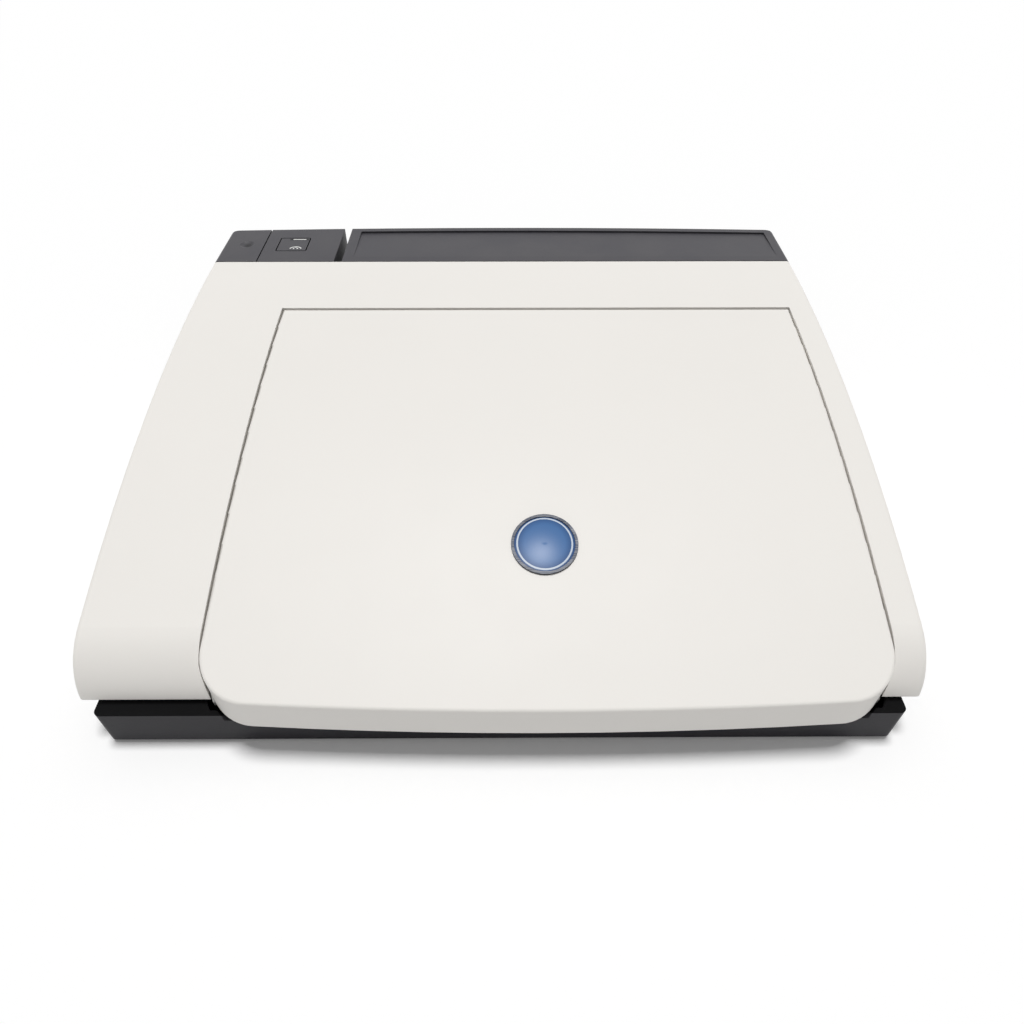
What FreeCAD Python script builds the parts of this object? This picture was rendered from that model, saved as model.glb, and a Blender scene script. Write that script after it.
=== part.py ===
"""Desk ECG recorder with a folding display lid: every piece as its own solid, in millimetres.

The origin is under the middle of the recorder, on the surface that it stands on.
X runs to the operator's right, Y to the back and Z up.
"""
import FreeCAD, Part
import math
import os

V = FreeCAD.Vector

# Overall size
width = 381.0
depth = 351.0
height = 94.0
rear_bow = 4.0
rear_corner = 6.0
wall = 2.5
half_width = width / 2
left_x = -half_width
front_y = -depth / 2
rear_y = depth / 2

# Seams and fits, and how near counts as touching
seam = 0.8
lid_gap = 1.2
lid_side_gap = 0.6
seat_gap = 0.2
run_gap = 0.05
key_gap = 0.4
touch = 0.01

# Side outline: a level strip, a long crown arc and a nose arc
case_high = 67.0
strip_deep = 51.0
crown_back = 40.5
crown_drop = 49.43
nose_radius = 32.0
nose_inset = 14.0
side_round = 2.5
case_bottom = height - case_high
strip_front_y = rear_y - strip_deep
crown_start_y = rear_y - crown_back
nose_foot_y = front_y + nose_inset
crown_run = crown_start_y - nose_foot_y
crown_radius = (crown_run ** 2 + crown_drop ** 2) / (2 * crown_drop)

# Display lid
lid_inset_left = 57.2
lid_inset_right = 15.6
lid_inset_rear = 107.7
lid_thick = 17.5
lid_bow_radius = 2600.0
lid_corner = 24.0
lid_edge_round = 1.5
lid_left = left_x + lid_inset_left
lid_right = half_width - lid_inset_right
lid_rear = rear_y - lid_inset_rear
lid_mid = (lid_left + lid_right) / 2

# Lid hinge
lid_axis_back = 12.0
lid_axis_deep = 5.5
lid_pin = 3.0
lid_barrel = 5.8
lid_arm_width = 10.0
lid_leaf_width = 8.0
lid_hinge_inset = 29.1
lid_hinge_spread = lid_right - lid_left - 2 * lid_hinge_inset

# Keyboard deck
deck_drop = 2.5
deck_rise = 44.57
deck_thick = 2.5
well_wall = 2.2
deck_ledge = 4.0
deck_screw_inset = 57.0
deck_screw_head = 2.0
deck_front_y = nose_foot_y
deck_front_z = case_bottom - deck_drop
deck_run = lid_rear - deck_front_y
deck_length = math.hypot(deck_run, deck_rise)
deck_angle = math.atan2(deck_rise, deck_run)
deck_slope = math.degrees(deck_angle)

# Base tray
base_inset = 7.5
base_inset_front = 7.6
base_inset_rear = 5.0
base_bottom = 2.5
shadow_gap = 3.0
base_corner = 3.0
rim_inset = 2.5
rim_front = 12.4
rim_corner = 5.5
rim_wall = 2.0
rim_rise = 4.0
foot_radius = 9.0
foot_inset = 16.0
foot_draft = 0.8
base_width = width - 2 * base_inset
base_front = front_y + base_inset_front
base_rear = rear_y - base_inset_rear
base_top = case_bottom - shadow_gap
rim_top = case_bottom + rim_rise

# Rear strip, its button and its dimple
cap_wide = 28.0
panel_wide = 51.0
notch_wide = 5.3
button_inset = 19.5
button_back = 25.5
button_width = 21.0
button_depth = 20.0
button_travel = 3.0
button_corner = 1.6
button_gap = 0.8
button_stem = 4.0
button_stem_radius = 3.0
shelf_down = 24.0
shelf_deep = 16.0
leg_long = 36.0
dimple_inset = 16.0
dimple_radius = 5.0
dimple_deep = 1.2
cap_seam_x = left_x + cap_wide
panel_right_x = cap_seam_x + panel_wide
door_left_x = panel_right_x + notch_wide
button_x = cap_seam_x + button_inset
button_y = rear_y - button_back
shelf_z = height - shelf_down
dimple_x = left_x + dimple_inset

# Writer door and card door
door_lift = 1.5
door_axis_up = 3.5
door_axis_in = 6.5
door_hinge_spread = 124.0
card_hinge_back = 27.5
door_pin_radius = 1.5
eye_radius = 3.0
eye_width = 4.0
lug_width = 10.0
lug_high = 12.0
bracket_deep = 6.0
recess_start = 7.0
recess_deep = 1.6
recess_margin = 4.5
recess_side = 7.0
tear_wide = 2.4
tear_thick = 1.0
door_low = case_bottom + door_lift
door_axis_y = rear_y - door_axis_in
door_axis_z = door_low + door_axis_up
card_axis_x = left_x + door_axis_in
card_hinge_y = rear_y - card_hinge_back
recess_front = strip_front_y + recess_start

# Mains inlet and earth pin in the housing
inlet_inset = 21.5
inlet_down = 39.0
inlet_wide = 27.0
inlet_high = 20.0
inlet_long = 24.0
inlet_flange = 2.0
inlet_wall = 1.8
inlet_sunk = 3.5
inlet_depth = 17.0
inlet_pin = 2.0
inlet_pin_pitch = 7.0
inlet_pin_lift = 4.0
earth_inset = 10.0
earth_up = 9.5
earth_sunk = 18.0
earth_cup_radius = 6.5
earth_pin_radius = 3.0
earth_pin_length = 12.0
inlet_x = cap_seam_x + inlet_inset
inlet_z = height - inlet_down
inlet_seat = rear_y - inlet_sunk
inlet_back = inlet_seat - inlet_long
earth_x = panel_right_x - earth_inset
earth_z = case_bottom + earth_up
earth_back = rear_y - earth_sunk

# Memory card and its socket
card_wide = 24.0
card_long = 32.0
card_thick = 2.1
card_notch = 3.0
card_sunk = 27.5
card_socket_deep = 9.0
card_socket_up = 13.0
card_socket_down = 22.0
card_y = button_y
card_socket_low = case_bottom + card_socket_up
card_socket_top = height - card_socket_down

# Sockets in the side walls
patient_back = 24.5
patient_down = 44.0
patient_radius = 13.0
patient_depth = 14.0
patient_pins = 6
patient_pin = 0.8
patient_pin_ring = 4.3
network_back = 28.5
network_length = 16.0
network_high = 13.0
serial_back = 86.5
serial_length = 26.0
serial_high = 12.0
data_down = 46.0
data_depth = 16.0
patient_y = strip_front_y - patient_back
patient_z = height - patient_down
network_y = strip_front_y - network_back
serial_y = strip_front_y - serial_back
data_z = height - data_down

# Screws and posts
post_inset_left = 18.5
post_inset_right = 17.5
post_inset_front = 45.5
post_ahead = 48.0
post_behind = 32.0
post_radius = 4.0
post_drop = 8.0
screw_grip = 7.0
screw_radius = 1.5
screw_head_radius = 2.8
screw_head_high = 2.0
pedestal_radius = 4.0
pedestal_inset = 14.0
post_rows = (front_y + post_inset_front, serial_y - post_ahead, serial_y + post_behind)
post_join_z = base_top - post_drop
screw_tip_z = post_join_z + screw_grip

# Keys
key_corner = 2.0
key_edge = 0.6
key_high = 3.0
key_travel = 1.2
mat_side = 37.1
mat_front = 58.0
mat_space = 43.0
mat_margin = 8.0
mat_thick = 1.6
mat_clear = 1.5
letter_columns = 13
letter_rows = 5
letter_space = 2.4
function_keys = 5
function_inset = 33.0
function_space = 24.0
function_wide = 26.0
function_long = 10.0
writer_keys = 4
writer_inset = 128.9
writer_pitch = 27.0
writer_space = 52.59
writer_wide = 22.0
writer_long = 14.0
power_inset = 45.3
power_size = 14.0
mat_left = lid_left + mat_side
mat_right = lid_right - mat_side
function_pitch = (mat_right - mat_left - 2 * function_inset) / (function_keys - 1)
writer_row = deck_length - writer_space
function_row = writer_row - function_space
mat_back = writer_row - mat_space
writer_key_x = lid_right - writer_inset
power_key_x = lid_left + power_inset

# Power, boards and speaker
supply_inset = 28.5
supply_wide = 82.0
supply_back = 148.5
supply_long = 110.0
supply_rise = 12.0
battery_inset = 26.5
battery_wide = 26.0
battery_inset_front = 35.5
battery_space = 20.0
battery_rise = 8.0
board_inset_left = 62.5
board_inset_right = 82.5
board_inset_front = 25.5
board_space = 16.0
board_up = 6.5
board_thick = 1.6
chip_count = 5
chip_size = 22.0
chip_high = 3.0
speaker_inset = 48.5
speaker_inset_front = 83.5
speaker_radius = 24.0
speaker_rim = 3.0
speaker_magnet = 12.0
speaker_high = 12.0
speaker_rows = 7
speaker_slot = 2.0
supply_left = left_x + supply_inset
supply_front = strip_front_y - supply_back
supply_high = case_bottom + supply_rise - base_bottom - wall
battery_left = left_x + battery_inset
battery_front = front_y + battery_inset_front
battery_long = supply_front - battery_space - battery_front
battery_high = case_bottom + battery_rise - base_bottom - wall
board_left = left_x + board_inset_left
board_right = half_width - board_inset_right
board_front = front_y + board_inset_front
board_rear = supply_front - board_space
board_z = base_bottom + board_up
speaker_x = half_width - speaker_inset
speaker_y = front_y + speaker_inset_front

# Paper and writer
paper_inset_left = 120.5
paper_inset_right = 36.5
window_up = 9.0
window_down = 10.0
tray_space = 12.0
tray_back = 6.5
tray_drop = 8.0
tray_high = 20.0
pack_high = 15.0
pack_fold = 1.5
frame_margin = 2.0
frame_thick = 3.0
frame_start = 2.5
frame_back = 15.5
frame_down = 8.0
cross_up = 6.0
platen_back = 27.5
platen_down = 18.0
platen_radius = 8.0
platen_space = 2.0
shaft_radius = 4.0
bush_radius = 6.0
bush_flange = 1.5
gear_module = 1.0
gear_wide = 6.0
gear_slack = 0.16
gear_steps = 4
pressure_angle = 20.0
root_depth = 1.25
platen_teeth = 24
pinion_teeth = 20
motor_radius = 13.0
motor_long = 34.0
motor_boss_radius = 5.0
motor_shaft_radius = 2.0
head_deep = 8.0
head_high = 18.0
head_fins = 4
paper_left = left_x + paper_inset_left
paper_right = half_width - paper_inset_right
paper_window_low = case_bottom + window_up
paper_window_high = height - window_down
tray_front = board_rear + tray_space
tray_rear = strip_front_y - tray_back
tray_floor = base_top - tray_drop
frame_front = strip_front_y + frame_start
frame_rear = rear_y - frame_back
frame_top = height - frame_down
frame_cross = base_top + cross_up
platen_y = rear_y - platen_back
platen_z = height - platen_down

# Display, bezel and badge
lcd_inset_side = 48.1
lcd_inset_front = 53.5
lcd_inset_rear = 29.8
lcd_thick = 6.0
pane_thick = 1.5
bezel_thick = 2.2
bezel_screw_inset = 7.0
bezel_screw_rear = 28.0
bezel_screw_front = 56.0
bumper_radius = 4.0
bumper_inset = 28.0
badge_inset = 75.0
badge_radius = 16.0
badge_edge = 1.4
badge_high = 1.0
badge_dome = 1.2
leaf_thick = 1.8
leaf_long = 24.0
arm_reach = 8.0
arm_back = 2.6
arm_waist = -0.4
lcd_wide = lid_right - lid_left - 2 * lcd_inset_side
lcd_long = lid_rear - front_y - lcd_inset_front - lcd_inset_rear
lcd_y = lid_rear - lcd_inset_rear - lcd_long / 2
badge_y = front_y + badge_inset


def box(x0, x1, y0, y1, z0, z1):
    return Part.makeBox(x1 - x0, y1 - y0, z1 - z0, V(x0, y0, z0))


def rod_x(x0, x1, y, z, radius):
    return Part.makeCylinder(radius, x1 - x0, V(x0, y, z), V(1, 0, 0))


def rod_y(y0, y1, x, z, radius):
    return Part.makeCylinder(radius, y1 - y0, V(x, y0, z), V(0, 1, 0))


def rod_z(z0, z1, x, y, radius):
    return Part.makeCylinder(radius, z1 - z0, V(x, y, z0), V(0, 0, 1))


def line(a, b):
    return Part.LineSegment(a, b).toShape()


def arc(a, b, c):
    return Part.Arc(a, b, c).toShape()


def extrude(edges, direction):
    """A solid from a closed run of edges, pushed along a direction."""
    return Part.Face(Part.Wire(edges)).extrude(direction)


def rounded_box(x0, x1, y0, y1, z0, z1, radius):
    """A box whose upright edges are rounded."""
    block = box(x0, x1, y0, y1, z0, z1)
    upright = [e for e in block.Edges if e.BoundBox.XLength < touch and e.BoundBox.YLength < touch]
    return block.makeFillet(radius, upright)


def fuse(first, *others):
    """One solid from pieces that meet, with its seams cleaned off."""
    return first.multiFuse(list(others)).removeSplitter()


def save(node, *solids):
    """Write one node: a single solid, or a group of separate ones."""
    shape = solids[0] if len(solids) == 1 else Part.makeCompound(list(solids))
    if not shape.isValid() or not shape.Solids:
        raise ValueError("bad solid: " + node)
    shape.exportStep("parts/" + node + ".step")


# Points of the side outline

crown_y = crown_start_y
crown_z = height - crown_radius


def nose_centre():
    """Centre of the nose arc, inside the crown arc and through the foot of the nose."""
    dy = nose_foot_y - crown_y
    dz = case_bottom - crown_z
    reach = math.hypot(dy, dz)
    inner = crown_radius - nose_radius
    turn = math.acos((inner ** 2 + reach ** 2 - nose_radius ** 2) / (2 * inner * reach))
    lean = math.atan2(-dy, dz) - turn
    return crown_y - inner * math.sin(lean), crown_z + inner * math.cos(lean), lean


nose_y, nose_z, nose_lean = nose_centre()


def crown_point(x, lean, inset):
    reach = crown_radius - inset
    return V(x, crown_y - reach * math.sin(lean), crown_z + reach * math.cos(lean))


def crown_top(y, inset):
    """Height of the crown at a distance from front to back."""
    return crown_z + math.sqrt((crown_radius - inset) ** 2 - (y - crown_y) ** 2)


def nose_point(x, lean, inset):
    reach = nose_radius - inset
    return V(x, nose_y - reach * math.sin(lean), nose_z + reach * math.cos(lean))


def body_block(inset, bottom, side_inset):
    """The body's side outline, moved inwards by inset and pushed across the width."""
    x = -half_width + side_inset
    foot = math.acos((bottom - nose_z) / (nose_radius - inset))
    back = rear_y + seam
    top = height - inset
    start = nose_point(x, foot, inset)
    join = nose_point(x, nose_lean, inset)
    edges = [
        arc(start, nose_point(x, (foot + nose_lean) / 2, inset), join),
        arc(join, crown_point(x, nose_lean / 2, inset), crown_point(x, 0, inset)),
        line(crown_point(x, 0, inset), V(x, back, top)),
        line(V(x, back, top), V(x, back, bottom)),
        line(V(x, back, bottom), start),
    ]
    return extrude(edges, V(width - 2 * side_inset, 0, 0))


def rear_plan(inset, bottom, top):
    """Upright block whose rear side is bowed and whose rear corners are round."""
    x = half_width - inset
    bow_reach = (half_width ** 2 + rear_bow ** 2) / (2 * rear_bow)
    bow_y = rear_y - bow_reach
    corner_x = x - rear_corner + inset
    reach = bow_reach - rear_corner
    corner_y = bow_y + math.sqrt(reach ** 2 - corner_x ** 2)
    small = rear_corner - inset
    tilt = math.atan2(corner_x, corner_y - bow_y)
    front = front_y - wall

    def corner_arc(side):
        points = []
        for angle in (math.pi / 2, (math.pi / 2 + tilt) / 2, tilt):
            step_x = side * (corner_x + small * math.sin(angle))
            points.append(V(step_x, corner_y + small * math.cos(angle), bottom))
        return points

    right = corner_arc(1)
    left = corner_arc(-1)
    edges = [
        line(V(-x, front, bottom), V(x, front, bottom)),
        line(V(x, front, bottom), right[0]),
        arc(right[0], right[1], right[2]),
        arc(right[2], V(0, rear_y - inset, bottom), left[2]),
        arc(left[2], left[1], left[0]),
        line(left[0], V(-x, front, bottom)),
    ]
    return extrude(edges, V(0, 0, top - bottom))


def outer_body():
    """The whole upper body as a block: the case, the strip and its parts are cut from it."""
    block = body_block(0.0, case_bottom, 0.0)
    rounded = []
    for edge in block.Edges:
        middle = edge.valueAt((edge.FirstParameter + edge.LastParameter) / 2)
        on_end = abs(abs(edge.CenterOfMass.x) - half_width) < touch
        on_skin = middle.z > case_bottom + touch and middle.y < rear_y
        if on_end and on_skin:
            rounded.append(edge)
    return block.makeFillet(side_round, rounded).common(rear_plan(0.0, 0.0, height + wall))


def inner_body(bottom):
    """The space inside the body's wall, open downwards to a level."""
    return body_block(wall, bottom, wall).common(rear_plan(wall, 0.0, height))


def lid_plan(inset, bottom, top):
    """Upright block of the lid's outline: bowed front, two round front corners."""
    bow_y = front_y + lid_bow_radius
    corner_y = bow_y - math.sqrt(
        (lid_bow_radius - lid_corner) ** 2 - (lid_right - lid_corner - lid_mid) ** 2)
    left = lid_left + inset
    right = lid_right - inset
    small = lid_corner - inset
    lean = math.atan2(lid_right - lid_corner - lid_mid, bow_y - corner_y)

    def corner_points(centre_x, side):
        points = []
        for angle in (math.pi / 2, (math.pi / 2 + lean) / 2, lean):
            x = centre_x + side * small * math.sin(angle)
            points.append(V(x, corner_y - small * math.cos(angle), bottom))
        return points

    near = corner_points(lid_left + lid_corner, -1)
    far = corner_points(lid_right - lid_corner, 1)
    back = lid_rear - inset
    edges = [
        line(V(left, back, bottom), near[0]),
        arc(near[0], near[1], near[2]),
        arc(near[2], V(lid_mid, front_y + inset, bottom), far[2]),
        arc(far[2], far[1], far[0]),
        line(far[0], V(right, back, bottom)),
        line(V(right, back, bottom), V(left, back, bottom)),
    ]
    return extrude(edges, V(0, 0, top - bottom))


def well_plan(grow, bottom, top):
    """Upright block of the lid's well, grown past the clearance, which is less at the lid's sides."""
    side = lid_side_gap + grow
    sides = box(lid_left - side, lid_right + side, -depth, depth, bottom, top)
    return lid_plan(-lid_gap - grow, bottom, top).common(sides)


def crown_band(upper, lower, x0, x1):
    """A curved layer under the crown, between two depths, past both ends of the lid."""
    leans = [math.asin((crown_y - y) / crown_radius) for y in (lid_rear + lid_thick, front_y - lid_thick)]
    middle = sum(leans) / 2
    top = [crown_point(x0, a, upper) for a in (leans[0], middle, leans[1])]
    low = [crown_point(x0, a, lower) for a in (leans[0], middle, leans[1])]
    edges = [arc(*top), line(top[2], low[2]), arc(*reversed(low)), line(low[0], top[0])]
    return extrude(edges, V(x1 - x0, 0, 0))


def on_deck(shape):
    """Carry a shape drawn flat, with Y along the deck and Z out of it, to the sloping deck."""
    placed = shape.copy()
    placed.rotate(V(0, 0, 0), V(1, 0, 0), deck_slope)
    placed.translate(V(0, deck_front_y, deck_front_z))
    return placed


def under_deck(depth):
    """Everything above a plane that lies a depth under the deck's face."""
    reach = 2 * width
    return on_deck(box(-reach, reach, -reach, reach, -depth, reach))


# Case, deck and base

def screw_posts():
    """Places of the six screws that hold the case on the base."""
    left = -half_width + post_inset_left
    right = half_width - post_inset_right
    return [(x, y) for x in (left, right) for y in post_rows]


def upper_case(outer):
    """Cream shell with the well for the lid, a rear bulkhead and six screw posts."""
    hollow = inner_body(case_bottom - wall)
    front = box(-width, width, front_y, strip_front_y, case_bottom - wall, height + wall)
    shell = outer.cut(hollow).common(front)
    inside = hollow.common(outer)
    rear_wall = inside.common(box(-width, width, strip_front_y - wall, strip_front_y, 0, height))
    deep = deck_thick + well_wall
    above = under_deck(deep)
    well_side = well_plan(well_wall, 0, height).cut(well_plan(0.0, 0, height))
    ledge = well_plan(0.0, 0, height).cut(well_plan(-deck_ledge, 0, height))
    ledge = ledge.cut(under_deck(deck_thick))
    well = fuse(well_side, ledge).common(above).common(inside)
    posts = [rod_z(post_join_z, height, x, y, post_radius).common(body_block(0.0, post_join_z, 0.0))
             for x, y in screw_posts()]
    case = fuse(shell, rear_wall, well, *posts)
    case = case.cut(well_plan(0.0, 0, height + wall).common(under_deck(deck_thick)))
    holes = [rod_z(post_join_z, screw_tip_z, x, y, screw_radius) for x, y in screw_posts()]
    window = box(paper_left, paper_right, strip_front_y - 2 * wall, strip_front_y + wall,
                 paper_window_low, paper_window_high)
    return case.cut(Part.makeCompound(holes + [window] + side_openings()))


def side_openings():
    """Holes in the side walls for the patient socket and the data sockets."""
    holes = [rod_x(half_width - 2 * wall, half_width + wall, patient_y, patient_z, patient_radius)]
    for y, half_y, half_z in data_places():
        holes.append(box(-half_width - wall, -half_width + 2 * wall, y - half_y, y + half_y,
                         data_z - half_z, data_z + half_z))
    return holes


def data_places():
    """Middle, half length and half height of each data socket."""
    return [(network_y, network_length / 2, network_high / 2), (serial_y, serial_length / 2, serial_high / 2)]


def base_tray():
    """Dark tray: floor, walls, a set-in rim, screw posts, pedestals and the card door's eyes."""
    x = base_width / 2
    tray = rounded_box(-x, x, base_front, base_rear, base_bottom, base_top, base_corner)
    floor_z = base_bottom + wall
    tray = tray.cut(rounded_box(-x + wall, x - wall, base_front + wall, base_rear - wall,
                                floor_z, base_top + wall, base_corner - wall))
    inner = rim_inset + rim_wall
    rim = rounded_box(-x + rim_inset, x - rim_inset, base_front + rim_front, base_rear - rim_inset,
                      floor_z, rim_top, rim_corner)
    ledge = rounded_box(-x + wall / 2, x - wall / 2, base_front + wall / 2, base_rear - wall / 2,
                        base_top - wall, base_top, base_corner - wall / 2)
    room = rounded_box(-x + inner, x - inner, base_front + rim_front + rim_wall, base_rear - inner,
                       floor_z, rim_top + wall, rim_corner - rim_wall)
    rim = fuse(rim, ledge).cut(room)
    low_z = deck_front_z - 2 * deck_thick
    low_rear = box(-width, width, strip_front_y - 2 * wall, rear_y, base_top, height)
    rim = rim.cut(well_plan(well_wall + seat_gap, low_z, height)).cut(low_rear)
    tray = tray.cut(well_plan(0.0, low_z, height))
    posts = [rod_z(base_bottom, post_join_z, px, py, post_radius) for px, py in screw_posts()]
    pedestals = [rod_z(base_bottom, tray_floor, px, py, pedestal_radius) for px, py in tray_corners()]
    pedestals += [rod_z(base_bottom, board_z, px, py, pedestal_radius) for px, py in board_corners()]
    tray = fuse(tray, rim, *(posts + pedestals + card_door_eyes()))
    cuts = []
    for px, py in screw_posts():
        cuts.append(rod_z(base_bottom - wall, post_join_z + wall, px, py, screw_radius + seat_gap))
        cuts.append(rod_z(base_bottom - wall, base_bottom + screw_head_high, px, py,
                          screw_head_radius + seat_gap))
    for row in range(speaker_rows):
        reach = speaker_radius - speaker_rim
        step = (row - (speaker_rows - 1) / 2) * 2 * reach / speaker_rows
        half = math.sqrt(reach ** 2 - step ** 2)
        cuts.append(box(speaker_x - half, speaker_x + half, speaker_y + step - speaker_slot / 2,
                        speaker_y + step + speaker_slot / 2, base_bottom - wall, floor_z + wall))
    return tray.cut(Part.makeCompound(cuts))


def card_door_eyes():
    """Two eyes on the left wall of the base that carry the card door's pin."""
    eyes = []
    wall_x = -base_width / 2
    for y in card_eye_middles():
        eye = rod_y(y - eye_width / 2, y + eye_width / 2, card_axis_x, door_axis_z, eye_radius)
        stem = box(wall_x, wall_x + rim_inset + rim_wall, y - eye_width / 2, y + eye_width / 2,
                   base_bottom + wall, door_axis_z)
        neck = box(card_axis_x, wall_x + rim_inset, y - eye_width / 2, y + eye_width / 2,
                   base_top, door_axis_z + eye_radius)
        eyes.append(fuse(eye, stem, neck).cut(rod_y(y - eye_width, y + eye_width, card_axis_x,
                                                    door_axis_z, door_pin_radius)))
    return eyes


def card_eye_middles():
    middle = card_hinge_y
    step = (lug_width + eye_width) / 2 + key_gap
    return [middle - step, middle + step]


def tray_corners():
    """Pedestal places under the paper tray."""
    return [(x, y) for x in (paper_left + pedestal_inset, paper_right - pedestal_inset)
            for y in (tray_front + pedestal_inset, tray_rear - pedestal_inset)]


def board_corners():
    """Pedestal places under the main board."""
    return [(x, y) for x in (board_left + pedestal_radius, board_right - pedestal_radius)
            for y in (board_front + pedestal_radius, board_rear - pedestal_radius)]


def rubber_feet():
    x = base_width / 2 - foot_inset
    rows = (base_front + foot_inset, base_rear - foot_inset)
    places = [(side * x, y) for side in (-1, 1) for y in rows]
    feet = []
    for px, py in places:
        foot = Part.makeCone(foot_radius - foot_draft, foot_radius, base_bottom, V(px, py, 0))
        feet.append(foot)
    return feet


def base_screws():
    screws = []
    for x, y in screw_posts():
        head = rod_z(base_bottom + seat_gap, base_bottom + screw_head_high, x, y, screw_head_radius)
        screws.append(fuse(head, rod_z(base_bottom + screw_head_high, screw_tip_z, x, y, screw_radius)))
    return screws


def key_places():
    """Name, middle and half size of each separate key on the deck."""
    places = []
    for index in range(function_keys):
        x = lid_mid + (index - (function_keys - 1) / 2) * function_pitch
        name = "function_key_%d" % (index + 1)
        places.append((name, x, function_row, function_wide / 2, function_long / 2))
    for index in range(writer_keys):
        x = writer_key_x + index * writer_pitch
        name = "writer_key_%d" % (index + 1)
        places.append((name, x, writer_row, writer_wide / 2, writer_long / 2))
    places.append(("power_key", power_key_x, writer_row, power_size / 2, power_size / 2))
    return places


def keyboard_deck():
    """Sloping deck in the well, with one window for the key mat and one for each separate key."""
    plate = under_deck(deck_thick).cut(under_deck(0.0))
    plate = plate.common(well_plan(-seat_gap, 0, height))
    plate = plate.common(box(-width, width, deck_front_y, rear_y, 0, height))
    cuts = [on_deck(box(mat_left, mat_right, mat_front, mat_back, -2 * deck_thick, deck_thick))]
    for _, x, s, half_x, half_s in key_places():
        hole = rounded_box(x - half_x - key_gap, x + half_x + key_gap, s - half_s - key_gap,
                           s + half_s + key_gap, -2 * deck_thick, deck_thick, key_corner)
        cuts.append(on_deck(hole))
    for x, s in deck_screw_places():
        cuts.append(on_deck(rod_z(-2 * deck_thick, deck_thick, x, s, screw_radius)))
    return plate.cut(Part.makeCompound(cuts))


def deck_screw_places():
    inset = deck_ledge / 2 - lid_side_gap
    rows = (deck_screw_inset, deck_length - deck_screw_inset)
    return [(x, s) for x in (lid_left + inset, lid_right - inset) for s in rows]


def deck_screws():
    screws = []
    for x, s in deck_screw_places():
        head = rod_z(0, screw_head_high / 2, x, s, deck_screw_head)
        screws.append(on_deck(fuse(head, rod_z(-deck_thick, 0, x, s, screw_radius))))
    return screws


def key_block(x, s, half_x, half_s, low, high):
    """One key cap on the flat deck: upright sides, round corners and a softened top."""
    cap = rounded_box(x - half_x, x + half_x, s - half_s, s + half_s, low, high, key_corner)
    top = [e for e in cap.Edges if e.BoundBox.ZMin > high - touch]
    return cap.makeFillet(key_edge, top)


def key_mat():
    """Elastomer sheet under the deck with the letter keys moulded on it."""
    low = -deck_thick - mat_thick
    mat = box(mat_left - mat_margin, mat_right + mat_margin, mat_front - mat_margin,
              writer_row + writer_long, low, -deck_thick)
    lift = box(mat_left + seat_gap, mat_right - seat_gap, mat_front + seat_gap, mat_back - seat_gap,
               -deck_thick, -deck_thick / 2)
    wide = (mat_right - mat_left) / letter_columns
    long = (mat_back - mat_front) / letter_rows
    caps = []
    for column in range(letter_columns):
        for row in range(letter_rows):
            x = mat_left + (column + 0.5) * wide
            s = mat_front + (row + 0.5) * long
            caps.append(key_block(x, s, (wide - letter_space) / 2, (long - letter_space) / 2,
                                  -deck_thick / 2, key_high))
    mat = fuse(mat, lift, *caps)
    holes = [box(x - half_x - mat_clear, x + half_x + mat_clear, s - half_s - mat_clear,
                 s + half_s + mat_clear, 2 * low, deck_thick) for _, x, s, half_x, half_s in key_places()]
    return on_deck(mat.cut(Part.makeCompound(holes)))


def keyboard_board():
    low = -deck_thick - mat_thick - board_thick
    return on_deck(box(mat_left - mat_margin, mat_right + mat_margin, mat_front - mat_margin,
                       writer_row + writer_long, low, low + board_thick))


def separate_keys():
    """Every key that moves by itself, as name and solid."""
    low = -deck_thick - mat_thick + key_travel + key_gap
    keys = []
    for name, x, s, half_x, half_s in key_places():
        keys.append((name, on_deck(key_block(x, s, half_x, half_s, low, key_high))))
    return keys


# Rear strip: housing, card door and writer door

def strip_block(outer, left, right, low):
    return outer.common(box(left, right, strip_front_y + seam, rear_y + wall, low, height + wall))


def rear_housing(outer):
    """Fixed dark panel of the strip, with legs to the base, a switch shelf and an earth cup."""
    left = cap_seam_x + seam / 2
    right = panel_right_x
    hollow = inner_body(case_bottom - wall)
    shell = strip_block(outer, left, right, case_bottom)
    shell = shell.cut(hollow.common(box(left + wall, right - wall, 0, rear_y, 0, height)))
    leg_front = strip_front_y + seam
    legs = [box(x, x + wall, leg_front, leg_front + leg_long, base_bottom + wall, case_bottom + wall)
            for x in (left, right - wall)]
    shelf = box(left, right, button_y - shelf_deep / 2, button_y + shelf_deep / 2, shelf_z - wall, shelf_z)
    cup = rod_y(earth_back - wall, rear_y, earth_x, earth_z, earth_cup_radius + wall)
    cup = cup.common(outer)
    housing = fuse(shell, shelf, cup, *legs)
    hole_x = button_width / 2
    hole_y = button_depth / 2
    cuts = [
        rounded_box(button_x - hole_x, button_x + hole_x, button_y - hole_y, button_y + hole_y,
                    height - 2 * wall, height + wall, button_corner),
        rod_y(earth_back, rear_y + wall, earth_x, earth_z, earth_cup_radius),
        inlet_block(inlet_wide, inlet_high, inlet_back, rear_y),
        inlet_block(inlet_wide + 2 * inlet_flange, inlet_high + 2 * inlet_flange, inlet_seat, rear_y),
    ]
    return housing.cut(Part.makeCompound(cuts))


def inlet_block(wide, high, y0, y1):
    return box(inlet_x - wide / 2, inlet_x + wide / 2, y0, y1, inlet_z - high / 2, inlet_z + high / 2)


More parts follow.
